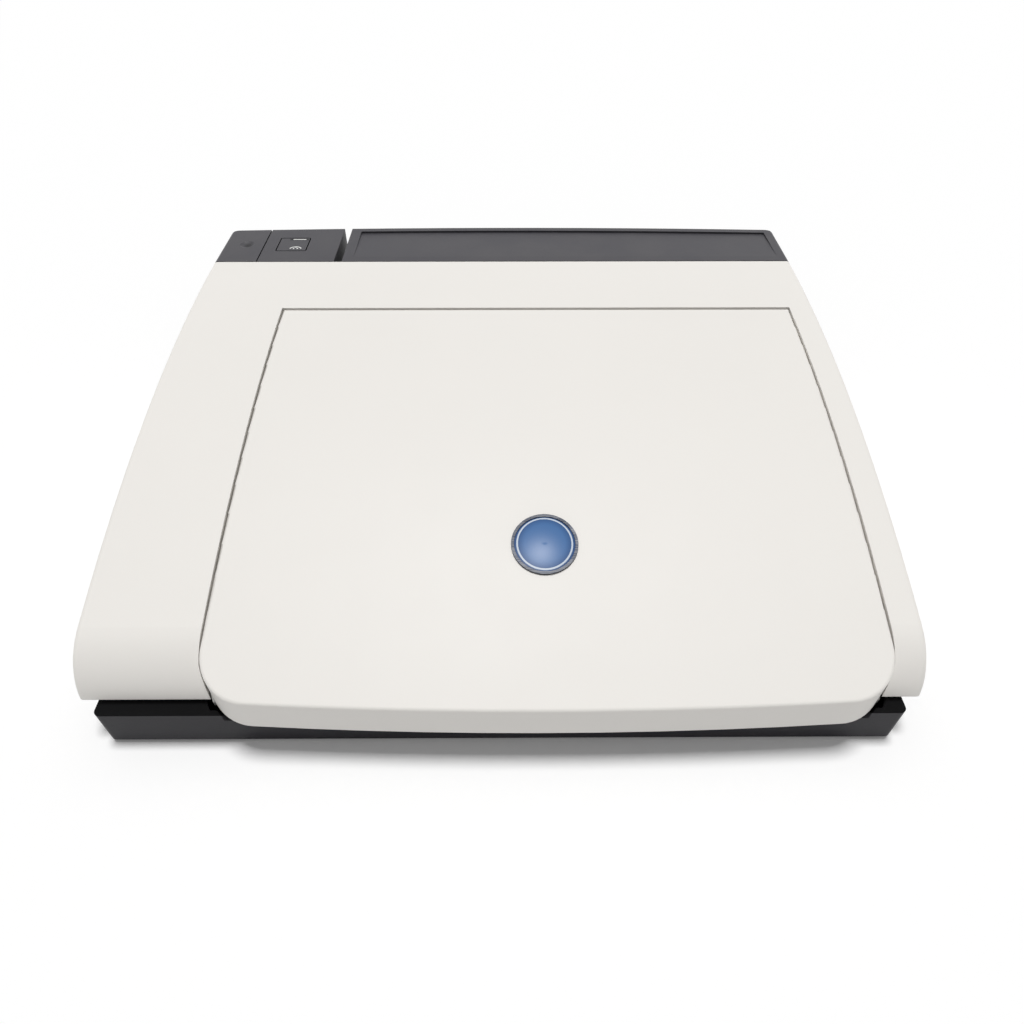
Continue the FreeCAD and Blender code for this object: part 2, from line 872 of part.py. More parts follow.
def mains_inlet():
    """Three-pin inlet: a flange in the rear wall, a deep socket and three flat pins."""
    flange = inlet_block(inlet_wide + 2 * inlet_flange, inlet_high + 2 * inlet_flange,
                         inlet_seat, inlet_seat + inlet_flange)
    body = inlet_block(inlet_wide - seat_gap, inlet_high - seat_gap, inlet_back, inlet_seat)
    socket = inlet_block(inlet_wide - 2 * inlet_wall, inlet_high - 2 * inlet_wall,
                         inlet_seat - inlet_depth, rear_y)
    pins = []
    for dx, dz in ((-inlet_pin_pitch, 0), (inlet_pin_pitch, 0), (0, inlet_pin_lift)):
        pins.append(box(inlet_x + dx - inlet_pin / 2, inlet_x + dx + inlet_pin / 2,
                        inlet_seat - inlet_depth - wall, inlet_seat - wall,
                        inlet_z + dz - inlet_pin, inlet_z + dz + inlet_pin))
    return fuse(fuse(flange, body).cut(socket), *pins)


def earth_stud():
    """Potential equalisation pin, standing in its cup."""
    seat = rod_y(earth_back, earth_back + wall, earth_x, earth_z, earth_pin_radius + wall)
    tip = earth_back + wall + earth_pin_length
    return fuse(seat, rod_y(earth_back, tip, earth_x, earth_z, earth_pin_radius))


def strip_button():
    """Square button: its cap in the panel, a flange below the panel and a stem."""
    half_x = button_width / 2 - button_gap
    half_y = button_depth / 2 - button_gap
    under = height - wall - key_gap
    cap = rounded_box(button_x - half_x, button_x + half_x, button_y - half_y, button_y + half_y,
                      under - wall, height, button_corner - button_gap)
    flange = box(button_x - half_x - wall, button_x + half_x + wall, button_y - half_y - wall,
                 button_y + half_y + wall, under - wall, under)
    stem = rod_z(under - wall - button_stem, under, button_x, button_y, button_stem_radius)
    return fuse(cap, flange, stem)


def strip_switch():
    """Switch on the shelf, just past the button's travel."""
    top = height - 2 * wall - key_gap - button_stem - button_travel - key_gap
    half = shelf_deep / 2 - wall
    return box(button_x - half, button_x + half, button_y - half, button_y + half, shelf_z, top)


def card_door(outer):
    """End cap of the strip: top, left and rear walls, a hinge lug and a finger dimple."""
    shell = strip_block(outer, -half_width - wall, cap_seam_x - seam / 2, door_low)
    shell = shell.cut(inner_body(case_bottom - wall))
    inner_x = -half_width + wall
    slot = lug_width / 2 + eye_width + 2 * key_gap
    shell = shell.cut(box(-half_width - wall, inner_x + wall, card_hinge_y - slot, card_hinge_y + slot,
                          0, door_axis_z + eye_radius + 2 * key_gap))
    y0 = card_hinge_y - lug_width / 2
    y1 = card_hinge_y + lug_width / 2
    eye = rod_y(y0, y1, card_axis_x, door_axis_z, eye_radius)
    arm = box(inner_x - wall / 2, card_axis_x + eye_radius, y0, y1, door_axis_z, door_axis_z + lug_high)
    arm = arm.cut(box(-half_width - wall, inner_x, y0, y1, 0, door_axis_z + eye_radius + 2 * key_gap))
    door = fuse(shell, eye, arm)
    ball = (dimple_radius ** 2 + dimple_deep ** 2) / (2 * dimple_deep)
    dimple = Part.makeSphere(ball, V(dimple_x, button_y, height + ball - dimple_deep))
    bore = rod_y(y0 - wall, y1 + wall, card_axis_x, door_axis_z, door_pin_radius + run_gap)
    return door.cut(Part.makeCompound([dimple, bore]))


def card_door_pin():
    low, high = card_eye_middles()
    return rod_y(low - eye_width / 2, high + eye_width / 2, card_axis_x, door_axis_z, door_pin_radius)


def card_socket():
    """Card reader on the housing's left wall, open at the top for the card."""
    wall_x = cap_seam_x + seam / 2
    block = box(wall_x - card_socket_deep, wall_x, card_y - card_wide / 2 - wall,
                card_y + card_wide / 2 + wall, card_socket_low, card_socket_top)
    x = wall_x - card_socket_deep / 2
    slot = box(x - card_thick / 2 - key_gap, x + card_thick / 2 + key_gap, card_y - card_wide / 2 - key_gap,
               card_y + card_wide / 2 + key_gap, card_socket_top - card_sunk, card_socket_top + wall)
    return block.cut(slot)


def memory_card():
    x = cap_seam_x + seam / 2 - card_socket_deep / 2
    low = card_socket_top - card_sunk + key_gap
    card = box(x - card_thick / 2, x + card_thick / 2, card_y - card_wide / 2, card_y + card_wide / 2,
               low, low + card_long)
    top = [e for e in card.Edges if e.BoundBox.ZMin > low + card_long - touch]
    corner = [e for e in top if e.BoundBox.YMin > card_y and e.BoundBox.YLength < touch]
    return card.makeChamfer(card_notch, corner)


def door_hinge_xs():
    middle = (door_left_x + half_width) / 2
    return [middle - door_hinge_spread / 2, middle + door_hinge_spread / 2]


def writer_door(outer):
    """Long rear door over the writer: top, rear and end walls, a sloping recess and two hinge lugs."""
    shell = strip_block(outer, door_left_x, half_width + wall, door_low)
    shell = shell.cut(inner_body(case_bottom - wall).common(
        box(door_left_x + wall, half_width, 0, rear_y, 0, height)))
    edges = [line(V(0, recess_front, height), V(0, rear_y, height)),
             line(V(0, rear_y, height), V(0, rear_y, height - recess_deep)),
             line(V(0, rear_y, height - recess_deep), V(0, recess_front, height))]
    recess = extrude(edges, V(half_width - recess_side - door_left_x - recess_side, 0, 0))
    recess.translate(V(door_left_x + recess_side, 0, 0))
    shell = shell.cut(recess.common(rear_plan(recess_margin, 0, 2 * height)))
    slot = lug_width / 2 + eye_width + 2 * key_gap
    slot_top = door_axis_z + eye_radius + 2 * key_gap
    lugs = []
    bores = []
    for x in door_hinge_xs():
        shell = shell.cut(box(x - slot, x + slot, door_axis_y - eye_radius, rear_y + wall, 0, slot_top))
        x0 = x - lug_width / 2
        x1 = x + lug_width / 2
        arm = box(x0, x1, door_axis_y - eye_radius, rear_y, door_axis_z, door_axis_z + lug_high)
        arm = arm.common(inner_body(case_bottom))
        lugs += [rod_x(x0, x1, door_axis_y, door_axis_z, eye_radius), arm]
        bores.append(rod_x(x0 - wall, x1 + wall, door_axis_y, door_axis_z, door_pin_radius + run_gap))
    return fuse(shell, *lugs).cut(Part.makeCompound(bores))


def door_brackets():
    """Steel brackets on the base floor: two eyes each side of every door lug."""
    brackets = []
    step = (lug_width + eye_width) / 2 + key_gap
    floor_z = base_bottom + wall
    stem_rear = base_rear - rim_inset - rim_wall - key_gap
    stem_front = stem_rear - bracket_deep
    for x in door_hinge_xs():
        foot = box(x - step - eye_width / 2, x + step + eye_width / 2, stem_front - bracket_deep, stem_rear,
                   floor_z, floor_z + rim_wall)
        cheeks = []
        for middle in (x - step, x + step):
            x0 = middle - eye_width / 2
            x1 = middle + eye_width / 2
            cheeks.append(box(x0, x1, stem_front, stem_rear, floor_z, door_axis_z + eye_radius))
            cheeks.append(box(x0, x1, stem_front, door_axis_y, base_top + key_gap, door_axis_z + eye_radius))
            cheeks.append(rod_x(x0, x1, door_axis_y, door_axis_z, eye_radius))
        hole = rod_x(x - 2 * lug_width, x + 2 * lug_width, door_axis_y, door_axis_z, door_pin_radius)
        brackets.append(fuse(foot, *cheeks).cut(hole))
    return brackets


def door_pins():
    half = lug_width / 2 + key_gap + eye_width
    return [rod_x(x - half, x + half, door_axis_y, door_axis_z, door_pin_radius) for x in door_hinge_xs()]


def tear_bar():
    """Thin steel strip under the door's front edge."""
    front = strip_front_y + seam + tear_wide / 2
    top = crown_top(front, wall) - run_gap
    return box(paper_left, paper_right, front, front + tear_wide, top - tear_thick, top)


# Writer

def gear(teeth, module, x0, x1, y, z, bore, turn):
    """Spur gear along X with involute flanks. Its first tooth is at turn, measured from Y to Z."""
    pitch = teeth * module / 2
    base = pitch * math.cos(math.radians(pressure_angle))
    root = pitch - root_depth * module
    tip = pitch + module
    slack = gear_slack / (2 * pitch)
    contact = math.radians(pressure_angle)
    half = math.pi / (2 * teeth) - slack + math.tan(contact) - contact
    low = max(base, root)
    flank = []
    for step in range(gear_steps + 1):
        reach = low + (tip - low) * step / gear_steps
        roll = math.acos(min(1.0, base / reach))
        flank.append((reach, half - math.tan(roll) + roll))
    points = []
    for tooth in range(teeth):
        middle = math.radians(turn) + 2 * math.pi * tooth / teeth
        points.append((root, middle - flank[0][1]))
        points += [(reach, middle - angle) for reach, angle in flank]
        points += [(reach, middle + angle) for reach, angle in reversed(flank)]
        points.append((root, middle + flank[0][1]))
    outline = [V(x0, y + r * math.cos(a), z + r * math.sin(a)) for r, a in points]
    outline.append(outline[0])
    body = Part.Face(Part.makePolygon(outline)).extrude(V(x1 - x0, 0, 0))
    return body.cut(rod_x(x0 - module, x1 + module, y, z, bore))


def frame_sides():
    """Inner faces of the writer frame's two side plates."""
    return paper_left - frame_margin, paper_right + frame_margin


def writer_frame():
    """Two steel side plates on the base floor, joined by a cross plate."""
    left, right = frame_sides()
    floor_z = base_bottom + wall
    plates = [box(x, x + frame_thick, frame_front, frame_rear, floor_z, frame_top)
              for x in (left - frame_thick, right)]
    cross = box(left, right, frame_front, frame_front + frame_thick, floor_z, frame_cross)
    frame = fuse(cross, *plates)
    bush = rod_x(left - wall - frame_thick, right + wall + frame_thick, platen_y, platen_z, bush_radius)
    motor_hole = rod_x(right - wall, right + wall + frame_thick, platen_y, motor_z(), motor_boss_radius)
    return frame.cut(Part.makeCompound([bush, motor_hole]))


def motor_z():
    return platen_z - gear_module * (platen_teeth + pinion_teeth) / 2


def platen_bushes():
    """Flanged plastic bushes in the side plates."""
    left, right = frame_sides()
    bushes = []
    for inner, side in ((left, -1), (right, 1)):
        outer_x = inner + side * (frame_thick + bush_flange)
        sleeve = rod_x(min(inner, outer_x), max(inner, outer_x), platen_y, platen_z, bush_radius)
        face = inner + side * frame_thick
        flange = rod_x(min(face, outer_x), max(face, outer_x), platen_y, platen_z, bush_radius + bush_flange)
        hole = rod_x(min(inner, outer_x) - wall, max(inner, outer_x) + wall, platen_y, platen_z,
                     shaft_radius + run_gap)
        bushes.append(fuse(sleeve, flange).cut(hole))
    return bushes


def platen_shaft():
    left = frame_sides()[0]
    return rod_x(left - frame_thick - 2 * bush_flange, gear_x() + gear_wide + bush_flange,
                 platen_y, platen_z, shaft_radius)


def gear_x():
    return frame_sides()[1] + frame_thick + 2 * bush_flange


def platen_rubber():
    left, right = frame_sides()
    tube = rod_x(left + platen_space, right - platen_space, platen_y, platen_z, platen_radius)
    return tube.cut(rod_x(left, right, platen_y, platen_z, shaft_radius))


def platen_gear():
    x = gear_x()
    return gear(platen_teeth, gear_module, x, x + gear_wide, platen_y, platen_z, shaft_radius, 0.0)


def motor_pinion():
    """Pinion on the end of the motor's turning shaft."""
    x = gear_x()
    teeth = gear(pinion_teeth, gear_module, x, x + gear_wide, platen_y, motor_z(), motor_shaft_radius,
                 90.0 + 180.0 / pinion_teeth)
    shaft = rod_x(frame_sides()[1], x + gear_wide, platen_y, motor_z(), motor_shaft_radius)
    return fuse(teeth, shaft)


def drive_motor():
    """Round motor with a boss in the right side plate."""
    right = frame_sides()[1]
    can = rod_x(right - motor_long, right, platen_y, motor_z(), motor_radius)
    boss = rod_x(right, right + frame_thick, platen_y, motor_z(), motor_boss_radius)
    hole = rod_x(right - motor_boss_radius, right + 2 * frame_thick, platen_y, motor_z(),
                 motor_shaft_radius + run_gap)
    return fuse(can, boss).cut(hole)


def print_head():
    """Thermal head bar across the frame, just in front of the platen, with cooling fins."""
    left, right = frame_sides()
    face = platen_y - platen_radius - key_gap
    bar = box(left, right, face - head_deep / 2, face, platen_z - head_high / 2, platen_z + head_high / 2)
    fins = []
    for index in range(head_fins):
        fin = head_high / head_fins / 2
        z = platen_z - head_high / 2 + (2 * index + 0.5) * fin
        fins.append(box(left, right, face - head_deep, face - head_deep / 2, z, z + fin))
    return fuse(bar, *fins)


def paper_tray():
    """Open tray for the folded paper, on four pedestals."""
    tray = box(paper_left, paper_right, tray_front, tray_rear, tray_floor, tray_floor + tray_high)
    room = box(paper_left + wall, paper_right - wall, tray_front + wall, tray_rear + wall,
               tray_floor + wall, tray_floor + tray_high + wall)
    return tray.cut(room)


def paper_pack():
    """Fan-fold pack: sheets with folded ends, standing clear of the tray's sides."""
    x0 = paper_left + wall + seam
    x1 = paper_right - wall - seam
    low = tray_floor + wall
    return rounded_pack(x0, x1, tray_front + wall + seam, tray_rear - wall, low, low + pack_high)


def rounded_pack(x0, x1, y0, y1, z0, z1):
    block = box(x0, x1, y0, y1, z0, z1)
    folds = [e for e in block.Edges if e.BoundBox.YLength < touch and e.BoundBox.ZLength < touch]
    return block.makeFillet(pack_fold, folds)


# Boards, power and sockets

def main_board():
    """Circuit board on its pedestals, with its larger parts."""
    top = board_z + board_thick
    board = box(board_left, board_right, board_front, board_rear, board_z, top)
    chips = []
    step = (board_right - board_left) / (chip_count + 1)
    middle = (board_front + board_rear) / 2
    for index in range(chip_count):
        x = board_left + (index + 1) * step
        chips.append(box(x - chip_size / 2, x + chip_size / 2, middle - chip_size / 2, middle + chip_size / 2,
                         top, top + chip_high))
    return fuse(board, *chips)


def power_supply():
    floor_z = base_bottom + wall
    return rounded_box(supply_left, supply_left + supply_wide, supply_front, supply_front + supply_long,
                       floor_z, floor_z + supply_high, wall)


def battery_pack():
    floor_z = base_bottom + wall
    return rounded_box(battery_left, battery_left + battery_wide, battery_front, battery_front + battery_long,
                       floor_z, floor_z + battery_high, 2 * wall)


def speaker():
    """Round speaker, face down on the base floor."""
    floor_z = base_bottom + wall
    rim_z = floor_z + wall
    dish = Part.makeCone(speaker_radius, speaker_magnet, speaker_high / 2, V(speaker_x, speaker_y, rim_z))
    rim = rod_z(floor_z, rim_z, speaker_x, speaker_y, speaker_radius)
    magnet = rod_z(rim_z, floor_z + speaker_high, speaker_x, speaker_y, speaker_magnet)
    hollow = Part.makeCone(speaker_radius - speaker_rim, speaker_magnet / 2, speaker_high / 2,
                           V(speaker_x, speaker_y, floor_z))
    return fuse(rim, dish, magnet).cut(hollow)


def patient_socket():
    """Round socket for the patient cable, flush in the right wall, with contact pins."""
    inside = half_width - wall
    nose = rod_x(inside, half_width, patient_y, patient_z, patient_radius - seat_gap)
    body = rod_x(half_width - patient_depth - 2 * wall, inside, patient_y, patient_z, patient_radius + wall)
    floor_x = half_width - patient_depth
    bore = rod_x(floor_x, half_width + wall, patient_y, patient_z, patient_radius - 2 * wall)
    pins = []
    for index in range(patient_pins):
        turn = 2 * math.pi * index / patient_pins
        y = patient_y + patient_pin_ring * math.cos(turn)
        z = patient_z + patient_pin_ring * math.sin(turn)
        pins.append(rod_x(floor_x - wall, half_width - patient_depth / 2, y, z, patient_pin))
    return fuse(fuse(nose, body).cut(bore), *pins)


def data_sockets():
    """Network and serial sockets in the left wall."""
    sockets = []
    inside = -half_width + wall
    for y, half_y, half_z in data_places():
        nose = box(-half_width, inside, y - half_y + seat_gap, y + half_y - seat_gap,
                   data_z - half_z + seat_gap, data_z + half_z - seat_gap)
        body = box(inside, inside + data_depth, y - half_y - wall, y + half_y + wall,
                   data_z - half_z - wall, data_z + half_z + wall)
        room_y = half_y - wall / 2
        room_z = half_z - wall / 2
        room = box(-half_width - wall, inside + data_depth - wall, y - room_y, y + room_y,
                   data_z - room_z, data_z + room_z)
        sockets.append(fuse(nose, body).cut(room))
    return sockets


# Display lid

lid_axis_y = lid_rear - lid_axis_back
lid_axis_z = crown_top(lid_axis_y, 0.0) - lid_axis_deep


def lid_hinge_xs():
    return [lid_mid - lid_hinge_spread / 2, lid_mid + lid_hinge_spread / 2]


def on_crown(shape, y):
    """Carry a shape drawn flat, with Y along the crown and Z out of it, to a place on the crown."""
    lean = math.asin((crown_y - y) / crown_radius)
    placed = shape.copy()
    placed.rotate(V(0, 0, 0), V(1, 0, 0), math.degrees(lean))
    placed.translate(crown_point(0, lean, 0.0))
    return placed


def lid_layer(inset, upper, lower):
    """Part of the lid between two depths under the crown, set in from the lid's outline."""
    return lid_plan(inset, 0, height).common(crown_band(upper, lower, lid_left - wall, lid_right + wall))


def lid_block():
    """The lid's outside, with its top edges rounded."""
    block = lid_layer(0.0, 0.0, lid_thick)
    top = []
    for edge in block.Edges:
        ends = (edge.FirstParameter, (edge.FirstParameter + edge.LastParameter) / 2, edge.LastParameter)
        reach = [math.hypot(p.y - crown_y, p.z - crown_z) for p in map(edge.valueAt, ends)]
        if all(abs(r - crown_radius) < touch for r in reach):
            top.append(edge)
    return block.makeFillet(lid_edge_round, top)


def hinge_notches(front):
    """Room in the lid's rear for the hinge arms."""
    half = lid_arm_width / 2 + lid_leaf_width + 2 * key_gap
    return [box(x - half, x + half, front, lid_rear + wall, 0, height) for x in lid_hinge_xs()]


def lid_shell(block):
    hollow = lid_layer(wall, wall, 2 * lid_thick)
    notch = Part.makeCompound(hinge_notches(lid_rear - 2 * wall))
    below = crown_band(wall, 2 * lid_thick, lid_left - wall, lid_right + wall)
    return block.cut(hollow).cut(below.common(notch))


def lcd_box(grow, low, high):
    """Block around the display's middle, in the plane of the display."""
    half_x = lcd_wide / 2 + grow
    half_y = lcd_long / 2 + grow
    return on_crown(box(lid_mid - half_x, lid_mid + half_x, -half_y, half_y, low, high), lcd_y)


def bezel_screw_places():
    inset = wall + bezel_screw_inset
    return [(x, y) for x in (lid_left + inset, lid_right - inset)
            for y in (lid_rear - bezel_screw_rear, lcd_y, front_y + bezel_screw_front)]


def lid_bezel():
    """Inner cover of the lid, with a collar round the display window."""
    cover = lid_layer(wall + seat_gap, lid_thick - bezel_thick, lid_thick)
    collar = lcd_box(bezel_thick, -lid_thick, lcd_low()).common(lid_layer(wall, 0.0, lid_thick))
    cover = fuse(cover, collar)
    cuts = [lcd_box(0.0, -2 * lid_thick, 0.0)] + hinge_notches(lid_axis_y - arm_reach - 2 * key_gap)
    cuts += [rod_z(0, height, x, y, screw_radius) for x, y in bezel_screw_places()]
    return cover.cut(Part.makeCompound(cuts))


def lcd_low():
    """Underside of the display panel, measured out of the crown at the display's middle."""
    sag = (lcd_long / 2) ** 2 / (2 * crown_radius)
    return -wall - sag - key_gap - lcd_thick


def lcd_panel():
    return lcd_box(bezel_thick, lcd_low(), lcd_low() + lcd_thick)


def lcd_window():
    """Clear pane in the bezel's collar, against the display."""
    return lcd_box(-seat_gap, lcd_low() - pane_thick, lcd_low())


def bezel_screws():
    head = crown_band(lid_thick, lid_thick + screw_head_high / 2, lid_left, lid_right)
    shaft = crown_band(lid_thick - bezel_thick, lid_thick, lid_left, lid_right)
    screws = []
    for x, y in bezel_screw_places():
        wide = rod_z(0, height, x, y, screw_head_radius).common(head)
        screws.append(fuse(wide, rod_z(0, height, x, y, screw_radius).common(shaft)))
    return screws


def lid_bumpers():
    """Rubber pads under the lid's front corners, just off the deck."""
    y = front_y + bumper_inset
    deck_z = deck_front_z + (y - deck_front_y) * math.tan(deck_angle)
    gap = crown_top(y, lid_thick) - deck_z
    layer = crown_band(lid_thick, lid_thick + gap - 2 * key_gap, lid_left, lid_right)
    return [rod_z(0, height, x, y, bumper_radius).common(layer)
            for x in (lid_left + bumper_inset, lid_right - bumper_inset)]


def badge_ring(radius, inner, low, high):
    disc = Part.makeCylinder(radius, high - low, V(lid_mid, 0, low))
    if inner > 0:
        disc = disc.cut(Part.makeCylinder(inner, high - low, V(lid_mid, 0, low)))
    return on_crown(disc, badge_y)


def badge_rim(block):
    return badge_ring(badge_radius, badge_radius - badge_edge, -wall / 2, badge_high).cut(block)


def lid_badge(block):
    """Plain domed disc inside its rim."""
    radius = badge_radius - badge_edge
    ball = (radius ** 2 + badge_dome ** 2) / (2 * badge_dome)
    dome = Part.makeSphere(ball, V(lid_mid, 0, badge_high / 2 + badge_dome - ball))
    disc = badge_ring(radius, 0, -wall / 2, badge_high + badge_dome)
    return disc.common(on_crown(dome, badge_y)).cut(block)


def lid_leaves():
    """Steel leaves under the lid's skin, each with two barrels round the hinge pin."""
    leaves = []
    layer = crown_band(wall + run_gap, wall + run_gap + leaf_thick, lid_left, lid_right)
    for x in lid_hinge_xs():
        inner = lid_arm_width / 2 + key_gap
        outer = inner + lid_leaf_width
        plate = layer.common(box(x - outer, x + outer, lid_axis_y - leaf_long, lid_axis_y, 0, height))
        room = layer.common(box(x - inner, x + inner, lid_axis_y - arm_reach, lid_axis_y + wall, 0, height))
        barrels = [rod_x(min(a, b), max(a, b), lid_axis_y, lid_axis_z, lid_barrel / 2)
                   for a, b in ((x - outer, x - inner), (x + inner, x + outer))]
        bore = rod_x(x - 2 * outer, x + 2 * outer, lid_axis_y, lid_axis_z, lid_pin / 2 + run_gap)
        leaves.append(fuse(plate.cut(room), *barrels).cut(bore))
    return leaves


def lid_arms():
    """Hinge arms that stand on the deck and hold the lid's pins."""
    arms = []
    foot = deck_front_z - lid_axis_z
    outline = [(-arm_eye(), 0), (arm_waist, -arm_eye()), (-arm_back, -lid_axis_back - 2 * key_gap),
               (-arm_back, foot), (-arm_reach, foot), (-arm_reach, -lid_axis_back)]
    s = (lid_axis_y - deck_front_y) / math.cos(deck_angle)
    for x in lid_hinge_xs():
        x0 = x - lid_arm_width / 2
        x1 = x + lid_arm_width / 2
        points = [V(x0, lid_axis_y + a, lid_axis_z + b) for a, b in outline]
        points.append(points[0])
        stem = Part.Face(Part.makePolygon(points)).extrude(V(lid_arm_width, 0, 0)).common(under_deck(0.0))
        eye = rod_x(x0, x1, lid_axis_y, lid_axis_z, arm_eye())
        half = lid_arm_width / 2 + lid_leaf_width
        plate = on_deck(box(x - half, x + half, s - 2 * arm_reach, s - arm_back, 0, rim_wall))
        bore = rod_x(x0 - wall, x1 + wall, lid_axis_y, lid_axis_z, lid_pin / 2)
        arms.append(fuse(stem, eye, plate).cut(bore))
    return arms


def arm_eye():
    return lid_barrel / 2 - run_gap


def lid_pins():
    half = lid_arm_width / 2 + key_gap + lid_leaf_width
    return [rod_x(x - half, x + half, lid_axis_y, lid_axis_z, lid_pin / 2) for x in lid_hinge_xs()]


def main():
    os.makedirs("parts", exist_ok=True)
    outer = outer_body()
    block = lid_block()
    save("upper_case", upper_case(outer))
    save("base_tray", base_tray())
    save("rubber_feet", *rubber_feet())
    save("base_screws", *base_screws())
    save("keyboard_deck", keyboard_deck())
    save("deck_screws", *deck_screws())
    save("key_mat", key_mat())
    save("keyboard_board", keyboard_board())
    for name, key in separate_keys():
        save(name, key)
    save("rear_housing", rear_housing(outer))
    save("mains_inlet", mains_inlet())
    save("earth_stud", earth_stud())
    save("strip_button", strip_button())
    save("strip_switch", strip_switch())
    save("card_door", card_door(outer))
    save("card_door_pin", card_door_pin())
    save("card_socket", card_socket())
    save("memory_card", memory_card())
    save("writer_door", writer_door(outer))
    save("door_brackets", *door_brackets())
    save("door_pins", *door_pins())
    save("tear_bar", tear_bar())
    save("writer_frame", writer_frame())
    save("platen_bushes", *platen_bushes())
    save("platen_shaft", platen_shaft())
    save("platen_rubber", platen_rubber())
    save("platen_gear", platen_gear())
    save("motor_pinion", motor_pinion())
    save("drive_motor", drive_motor())
    save("print_head", print_head())
    save("paper_tray", paper_tray())
    save("paper_pack", paper_pack())
    save("main_board", main_board())
    save("power_supply", power_supply())
    save("battery_pack", battery_pack())
    save("speaker", speaker())
    save("patient_socket", patient_socket())
    save("data_sockets", *data_sockets())
    save("lid_shell", lid_shell(block))
    save("lid_bezel", lid_bezel())
    save("lcd_panel", lcd_panel())
    save("lcd_window", lcd_window())
    save("bezel_screws", *bezel_screws())
    save("lid_bumpers", *lid_bumpers())
    save("badge_rim", badge_rim(block))
    save("lid_badge", lid_badge(block))
    save("lid_leaves", *lid_leaves())
    save("lid_arms", *lid_arms())
    save("lid_pins", *lid_pins())


main()
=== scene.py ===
import math

import bmesh
import bpy
from mathutils import Matrix, Vector


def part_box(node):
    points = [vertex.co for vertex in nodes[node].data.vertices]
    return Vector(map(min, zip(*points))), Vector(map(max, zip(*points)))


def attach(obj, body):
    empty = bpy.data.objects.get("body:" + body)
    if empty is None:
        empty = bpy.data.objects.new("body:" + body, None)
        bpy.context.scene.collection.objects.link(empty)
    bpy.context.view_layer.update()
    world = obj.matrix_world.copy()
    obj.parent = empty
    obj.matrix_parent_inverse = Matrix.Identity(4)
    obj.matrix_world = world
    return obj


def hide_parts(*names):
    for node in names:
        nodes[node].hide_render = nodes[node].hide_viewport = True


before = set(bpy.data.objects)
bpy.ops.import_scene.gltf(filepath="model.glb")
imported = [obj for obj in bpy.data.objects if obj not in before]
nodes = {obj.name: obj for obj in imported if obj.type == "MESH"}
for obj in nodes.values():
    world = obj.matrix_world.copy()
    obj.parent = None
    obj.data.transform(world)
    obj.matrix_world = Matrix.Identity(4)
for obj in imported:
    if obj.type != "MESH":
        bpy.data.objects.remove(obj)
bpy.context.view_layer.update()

MM = 0.001
WHITE = (1.0, 1.0, 1.0, 1.0)
FLOAT = "NodeSocketFloat"
COLOUR = "NodeSocketColor"
VECTOR = "NodeSocketVector"
FUNCTION_KEYS = ["function_key_%d" % number for number in range(1, 6)]
WRITER_KEYS = ["writer_key_%d" % number for number in range(1, 5)]


# Node helpers

def srgb(red, green, blue):
    """A colour written in 0 to 255 steps, as the linear values that sockets take."""
    linear = []
    for step in (red, green, blue):
        part = step / 255
        linear.append(part / 12.92 if part <= 0.04045 else ((part + 0.055) / 1.055) ** 2.4)
    return (*linear, 1.0)


def node(tree, kind, inputs=None, **settings):
    """Add a node. Each of its inputs takes a value, or a socket to join to it."""
    made = tree.nodes.new(kind)
    for key, value in settings.items():
        setattr(made, key, value)
    for key, value in (inputs or {}).items():
        if isinstance(value, bpy.types.NodeSocket):
            tree.links.new(value, made.inputs[key])
        else:
            made.inputs[key].default_value = value
    return made


def join(tree, end, **sources):
    """Link each socket to the input of that name on a node."""
    for label, source in sources.items():
        tree.links.new(source, end.inputs[label.replace("_", " ")])


def math_node(tree, operation, first, second=0.0, clamp=False):
    made = node(tree, "ShaderNodeMath", {0: first, 1: second}, operation=operation, use_clamp=clamp)
    return made.outputs[0]


def scaled(tree, value, factor):
    return math_node(tree, "MULTIPLY", value, factor)


def spread(tree, value, width, start):
    """A value from 0 to 1, stretched to run from start to start + width."""
    return math_node(tree, "ADD", scaled(tree, value, width), start)


def vector_node(tree, operation, first, second=(0, 0, 0)):
    return node(tree, "ShaderNodeVectorMath", {0: first, 1: second}, operation=operation).outputs


def mix_colour(tree, factor, first, second):
    made = node(tree, "ShaderNodeMix", {0: factor, 6: first, 7: second}, data_type="RGBA")
    return made.outputs[2]


def ramp(tree, value, low, high):
    """A smooth step from 0 at low to 1 at high."""
    made = node(tree, "ShaderNodeMapRange", {0: value, 1: low, 2: high}, interpolation_type="SMOOTHSTEP")
    return made.outputs[0]


def object_place(tree):
    return node(tree, "ShaderNodeTexCoord").outputs["Object"]


def axes_of(tree, vector):
    return node(tree, "ShaderNodeSeparateXYZ", {0: vector}).outputs


def noise(tree, scale, detail=2.0, place=None):
    place = place or object_place(tree)
    made = node(tree, "ShaderNodeTexNoise", {"Vector": place, "Scale": scale, "Detail": detail})
    return made.outputs["Fac"]


def shader_group(name, inputs, outputs):
    """An empty shader group with named sockets: the group, its input node and its output node."""
    group = bpy.data.node_groups.new(name, "ShaderNodeTree")
    for label, kind, value in inputs:
        socket = group.interface.new_socket(label, in_out="INPUT", socket_type=kind)
        socket.default_value = value
    for label, kind in outputs:
        group.interface.new_socket(label, in_out="OUTPUT", socket_type=kind)
    return group, group.nodes.new("NodeGroupInput"), group.nodes.new("NodeGroupOutput")


# Shared effects

FINE_SHARE = 0.6
PIT_SHARE = 0.4
NOISE_MIDDLE = 0.5
DRIFT_SCALE = 9.0
RUB_SCALE = 60.0
DUST_SCALE = 35.0


